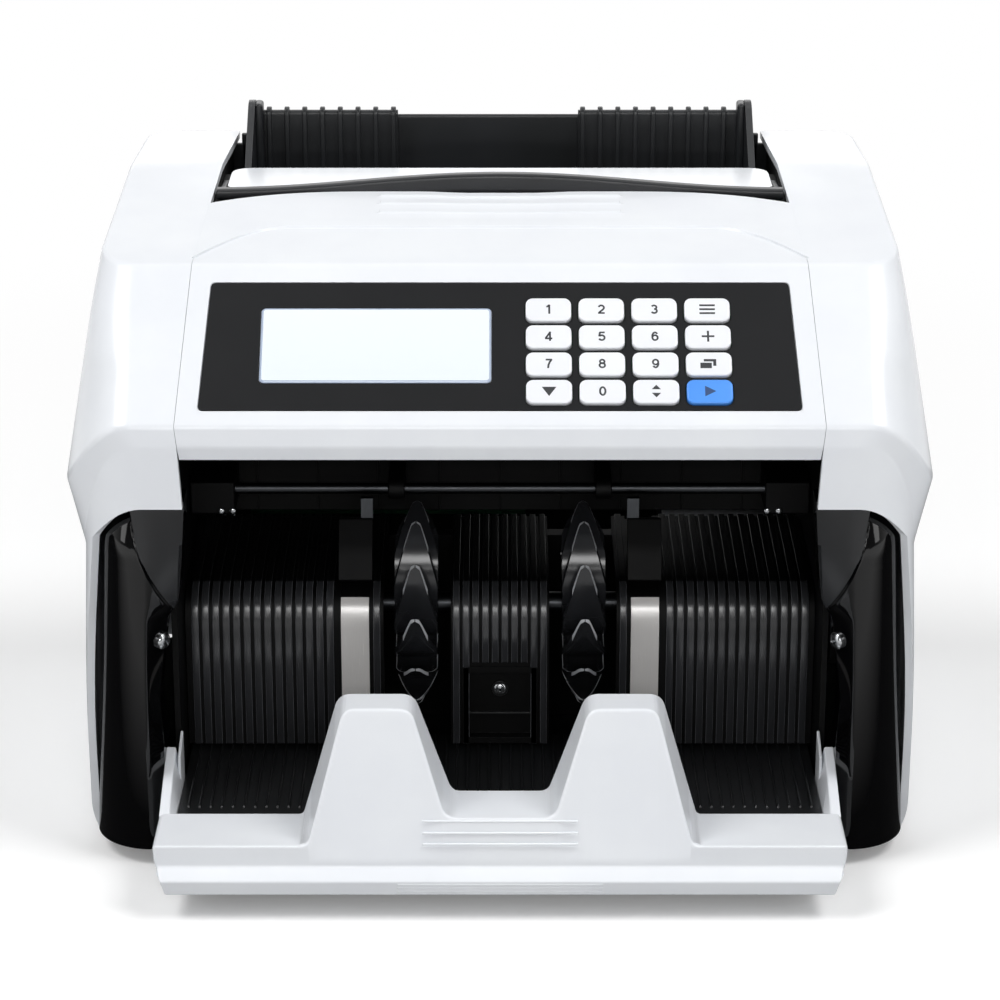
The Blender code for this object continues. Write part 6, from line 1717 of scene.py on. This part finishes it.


# piece name, finish, width of the small rounds, and other settings, by node
# the inner parts in the dull black carry painted shade
dressedPieces = {
    "hopper_frame": ("hopper_chassis", "paintedShadeBlack", 0.2, {"merge": None}),
    "left_frame_plate": ("left_chassis_plate", "paintedShadeBlack", 0.15, {}),
    "right_frame_plate": ("right_chassis_plate", "paintedShadeBlack", 0.15, {}),
    "rear_bulkhead": ("cross_beam", "paintedShadeBlack", 0.2, {}),
    "rear_cover": ("rear_cover_panel", "whiteAbs", 0.3, {"merge": None}),
    "mains_inlet": ("mains_socket", "blackNylon", 0.3, {}),
    "power_rocker": ("rocker_cap", "blackNylon", 0.35, {}),
    "main_board": ("control_board", "board", 0.1, {}),
    "power_supply": ("supply_board", "board", 0.15, {}),
    "panel_board": ("keyboard_board", "board", 0.1, {}),
    "drive_motor": ("motor_can", "groundSteel", 0.6, {"angle": 50}),
    "motor_pulley": ("pinion_pulley", "zinc", 0.2, {}),
    "drive_belt": ("flat_belt", "rubber", 0.12, {"angle": 50}),
    "impeller_shaft": ("wheel_shaft", "darkShaft", 0.2, {"angle": 50}),
    "drum_shaft": ("drum_rollers", "rubber", 0.3, {"angle": 50}),
    "feed_shaft": ("feed_rollers", "rubber", 0.3, {"angle": 50}),
}
for node, (name, finish, width, settings) in dressedPieces.items():
    dressed(node, name, finishes[finish], width, **settings)
# the inner face of the rear cover takes the dull black as painted shade
rearPanel = bpy.data.objects["rear_cover_panel"].data
rearPanel.materials.append(finishes["paintedShadeBlack"])
for face in rearPanel.polygons:
    if face.normal.y < -0.5:
        face.material_index = 1
print("inner parts")


# Base

baseSizes = {
    # right half of the pan's outline, front to rear
    "outline": [(106.0, -30.0), (106.0, 26.0), (111.0, 31.2), (137.4, 31.2), (137.4, 182.0), (125.8, 194.0)],
    "front": -30.0,
    "corners": [4, 3, 1, 3, 4, 4],
    "pan": (6.05, 7.95),
    "flange": ((135.5, 33.0, 6.1), (137.4, 180.0, 17.9)),   # low and high corner
    "feet": {"front": (100.0, -8.0), "rear": (118.0, 175.0)},  # half distance and setback
    "foot": ((0.0, 7.2), (0.35, 8.0), (1.0, 8.6), (5.4, 8.9), (5.72, 8.6)),  # height and radius
}


def makeBase():
    right, corners = baseSizes["outline"], baseSizes["corners"]
    middle = [(0.0, baseSizes["front"])]
    loop = middle + right + [(-x, y) for x, y in reversed(right)] + middle
    outline = softPath(loop, corners + corners[::-1], 4)[:-1]
    rings = [[at(p.x, p.y, z) for p in outline] for z in baseSizes["pan"]]
    pan = softenEdges(rawPiece("base_pan_sheet", loftOf(rings), finishes["powderSteel"]), 0.25, 50, 2)
    flanges = [sideBlock("flange", side, *baseSizes["flange"], finishes["powderSteel"]) for side in (-1, 1)]
    joinInto(pan, [softenEdges(flange, 0.3, 40, 2) for flange in flanges])
    mount(pan, standsFor="base_pan")
    for ahead, (halfX, setback) in baseSizes["feet"].items():
        for word, side in (("left", -1), ("right", 1)):
            rings = [[at(side * halfX + u, setback + v, z) for u, v in circlePoints(r, 48)]
                     for z, r in baseSizes["foot"]]
            foot = rawPiece(f"{ahead}_{word}_rubber_foot", loftOf(rings), finishes["rubber"])
            mount(evenShade(foot, 45), standsFor=f"{ahead}_{word}_foot")


makeBase()
print("base")


# Screws: one Phillips head, set on its spots along the way that each one faces

screwSizes = {
    "radius": 1.9,
    "height": 1.15,
    "rim": 0.25,
    "sink": 0.5,
    "slot": 0.36,
    "slotReach": 1.15,
    "slotDeep": 0.7,
    "seed": 5,
}
# X, setback, Z, facing and size; the outer ones come in mirrored pairs
screwSpots = [(0.0, 50.85, 45.1, (0, -1, 0), 1.25)]
for side in (-1, 1):
    screwSpots += [
        (side * 114.4, 8.4, 81.0, (-side * 0.84, -0.55, 0), 1.6),
        (side * 95.5, 78.7, 101.9, (0, -1, 0), 0.7),
        (side * 99.6, 78.7, 101.9, (0, -1, 0), 0.7),
        (side * 98.0, 197.0, 150.0, (0, 1, 0), 1.0),
        (side * 98.0, 197.0, 22.0, (0, 1, 0), 1.0),
        (side * 125.0, 60.0, 6.1, (0, 0, -1), 1.0),
        (side * 125.0, 150.0, 6.1, (0, 0, -1), 1.0),
        (side * 90.0, 20.0, 6.1, (0, 0, -1), 1.0),
    ]


def makeScrews():
    r, high, sink = screwSizes["radius"], screwSizes["height"], screwSizes["sink"]
    rim = screwSizes["rim"]
    dome = [math.pi / 2 * i / 7 for i in range(1, 7)]
    profile = [(-sink, r * 0.98), (rim, r)]
    profile += [(rim + (high - rim) * math.sin(a), r * math.cos(a) ** 0.8) for a in dome] + [(high, r * 0.12)]
    rings = [[Vector((u, v, z)) * mm for u, v in circlePoints(radius, 36)] for z, radius in profile]
    screw = rawPiece("case_screws", loftOf(rings), finishes["zinc"])
    slot, reach, deep = screwSizes["slot"] / 2, screwSizes["slotReach"], screwSizes["slotDeep"]
    cutters = []
    for halfX, halfY in ((reach, slot), (slot, reach)):
        corners = ((-halfX, -halfY), (halfX, -halfY), (halfX, halfY), (-halfX, halfY))
        rings = [[Vector((x * share, y * share, z)) * mm for x, y in corners]
                 for z, share in ((high - deep, 0.6), (high + 0.4, 1.05))]
        cutters.append(rawPiece("recess", loftOf(rings)))
    carve(screw, cutters)
    evenShade(screw, 35)
    cloud = bpy.data.meshes.new("screw_spots")
    cloud.from_pydata([at(*spot[:3]) for spot in screwSpots], [], [])
    cloud.attributes.new("aim", "FLOAT_VECTOR", "POINT")
    cloud.attributes.new("size", "FLOAT", "POINT")
    for i, spot in enumerate(screwSpots):
        cloud.attributes["aim"].data[i].vector = spot[3]
        cloud.attributes["size"].data[i].value = spot[4]
    spots = bpy.data.objects.new("screw_spots", cloud)
    bpy.context.scene.collection.objects.link(spots)
    laidOut(screw, "studs", {"Spots": spots, "Twist": math.pi / 2, "Seed": screwSizes["seed"]})
    bpy.data.objects.remove(spots)
    mount(screw)


makeScrews()
print("screws")


# Floor, world, lamps and camera

stageSizes = {
    "floorHalf": 6.0,
    "floorShade": 0.94,
    "floorBounce": 0.64,
    "floorShown": 0.14,
    "near": 0.30,
    "far": 0.75,
    "cards": (-0.26, 0.54),     # from Y to Y, with clear paper between these shares of the way
    "cardGap": (0.18, 0.72),
    "cardShade": 0.03,
    "room": 0.10,
    "roomSeen": (0.10, 0.85),   # by gloss, in front of the counter and behind it
    "roomTurn": (-0.55, 0.25),
}
plainWhite = (1, 1, 1, 1)


def maths(tree, operation, *sides):
    # each side is a number or an output of a node
    numbers = {i: side for i, side in enumerate(sides) if not isinstance(side, tuple)}
    links = {i: side for i, side in enumerate(sides) if isinstance(side, tuple)}
    return addNode(tree, "ShaderNodeMath", {"operation": operation, **numbers}, links)


def makeFloorPaper():
    paper = bpy.data.materials.new("pale paper floor")
    paper.use_nodes = True
    tree = paper.node_tree
    tree.nodes.clear()
    path = addNode(tree, "ShaderNodeLightPath")
    direct = maths(tree, "MAXIMUM", (path, "Is Camera Ray"), (path, "Is Transmission Ray"))
    shown = maths(tree, "MAXIMUM", (direct, 0), (path, "Is Glossy Ray"))
    # white paper to the eye; it throws less light back up
    shade = addNode(tree, "ShaderNodeMapRange",
                    {"To Min": stageSizes["floorBounce"], "To Max": stageSizes["floorShade"]},
                    {"Value": (direct, 0)})
    cloth = addNode(tree, "ShaderNodeBsdfDiffuse", {}, {"Color": (shade, "Result")})
    # the paper runs out into plain white some way from the counter
    place = addNode(tree, "ShaderNodeTexCoord")
    reach = addNode(tree, "ShaderNodeVectorMath", {"operation": "LENGTH"}, {0: (place, "Object")})
    away = addNode(tree, "ShaderNodeMapRange",
                   {"interpolation_type": "SMOOTHSTEP", "From Min": stageSizes["near"],
                    "From Max": stageSizes["far"]}, {"Value": (reach, "Value")})
    fade = maths(tree, "MULTIPLY", (away, "Result"), (shown, 0))
    lift = maths(tree, "MULTIPLY", (direct, 0), stageSizes["floorShown"])
    glow = addNode(tree, "ShaderNodeEmission", {"Color": plainWhite}, {"Strength": (lift, 0)})
    near = addNode(tree, "ShaderNodeAddShader", {}, {0: (cloth, 0), 1: (glow, 0)})
    white = addNode(tree, "ShaderNodeEmission", {"Color": plainWhite, "Strength": 1.0})
    both = addNode(tree, "ShaderNodeMixShader", {}, {0: (fade, 0), 1: (near, 0), 2: (white, 0)})
    # polished black sees the paper beside the counter, and dark cards in front of and behind that
    spot = addNode(tree, "ShaderNodeSeparateXYZ", {}, {"Vector": (place, "Object")})
    start, end = stageSizes["cards"]
    depth = addNode(tree, "ShaderNodeMapRange", {"From Min": start, "From Max": end}, {"Value": (spot, "Y")})
    card = addNode(tree, "ShaderNodeValToRGB", {}, {"Fac": (depth, "Result")})
    card.color_ramp.elements[1].color = (0, 0, 0, 1)
    for share in stageSizes["cardGap"]:
        card.color_ramp.elements.new(share).color = plainWhite
    hidden = maths(tree, "MULTIPLY", (card, "Color"), (path, "Is Glossy Ray"))
    dark = addNode(tree, "ShaderNodeEmission", {"Color": plainWhite, "Strength": stageSizes["cardShade"]})
    last = addNode(tree, "ShaderNodeMixShader", {}, {0: (hidden, 0), 1: (both, 0), 2: (dark, 0)})
    addNode(tree, "ShaderNodeOutputMaterial", {}, {"Surface": (last, 0)})
    return paper


def makeFloorPlane():
    bpy.ops.mesh.primitive_plane_add(size=stageSizes["floorHalf"] * 2, location=(0, 0, 0))
    floor = bpy.context.active_object
    floor.name = "studio_floor"
    floor.data.materials.append(makeFloorPaper())


def makeWorld():
    world = bpy.data.worlds.new("studio")
    bpy.context.scene.world = world
    world.use_nodes = True
    tree = world.node_tree
    tree.nodes.clear()
    place = addNode(tree, "ShaderNodeTexCoord")
    split = addNode(tree, "ShaderNodeSeparateXYZ", {}, {"Vector": (place, "Generated")})
    # gloss sees a pale room behind the counter and a dim one in front of it
    (start, end), (low, high) = stageSizes["roomTurn"], stageSizes["roomSeen"]
    fade = addNode(tree, "ShaderNodeMapRange",
                   {"From Min": start, "From Max": end, "To Min": low, "To Max": high},
                   {"Value": (split, "Y")})
    path = addNode(tree, "ShaderNodeLightPath")
    plain = addNode(tree, "ShaderNodeMix", {"data_type": "FLOAT", 2: stageSizes["room"]},
                    {0: (path, "Is Glossy Ray"), 3: (fade, "Result")})
    shown = maths(tree, "MAXIMUM", (path, "Is Camera Ray"), (path, "Is Transmission Ray"))
    last = addNode(tree, "ShaderNodeMix", {"data_type": "FLOAT", 3: 1.0}, {0: (shown, 0), 2: (plain, 0)})
    back = addNode(tree, "ShaderNodeBackground", {"Color": plainWhite}, {"Strength": (last, 0)})
    addNode(tree, "ShaderNodeOutputWorld", {}, {"Surface": (back, 0)})


def aimed(name, data, place, aim):
    # lamp or camera that looks from its place at the aim
    holder = bpy.data.objects.new(name, data)
    holder.location = place
    holder.rotation_euler = (Vector(aim) - Vector(place)).to_track_quat("-Z", "Y").to_euler()
    bpy.context.scene.collection.objects.link(holder)
    return holder


def lamp(name, place, aim, width, height, power):
    light = bpy.data.lights.new(name, "AREA")
    light.shape = "RECTANGLE"
    light.size = width
    light.size_y = height
    light.energy = power
    aimed(name, light, place, aim)


makeFloorPlane()
makeWorld()
for word, side in (("left", -1), ("right", 1)):
    lamp(f"high {word} softbox", (side * 2.0, -0.7, 3.6), (0, -0.05, 0.1), 1.6, 1.6, 67.0)
    lamp(f"{word} softbox", (side * 1.3, -0.7, 0.75), (0, -0.05, 0.1), 0.35, 1.2, 3.2)
lamp("front fill", (0.0, -2.2, 1.0), (0, 0, 0.1), 0.9, 0.4, 9.3)
lamp("edge strip", (0.0, 0.95, 3.0), (0, 0, 0.1), 2.6, 0.14, 5.0)
lamp("back softbox", (0.0, 2.4, 0.9), (0, 0.1, 0.1), 1.6, 0.5, 4.0)
lamp("front strip", (0.0, -1.7, 0.38), (0, 0, 0.1), 1.4, 0.06, 1.5)

eye = bpy.data.cameras.new("eye")
eye.lens = 116.82
eye.sensor_width = 36.0
bpy.context.scene.camera = aimed("eye", eye, (0.0, -1.0879, 0.5019), (0, -0.079, 0.1347))
bpy.context.scene.view_settings.view_transform = "Standard"
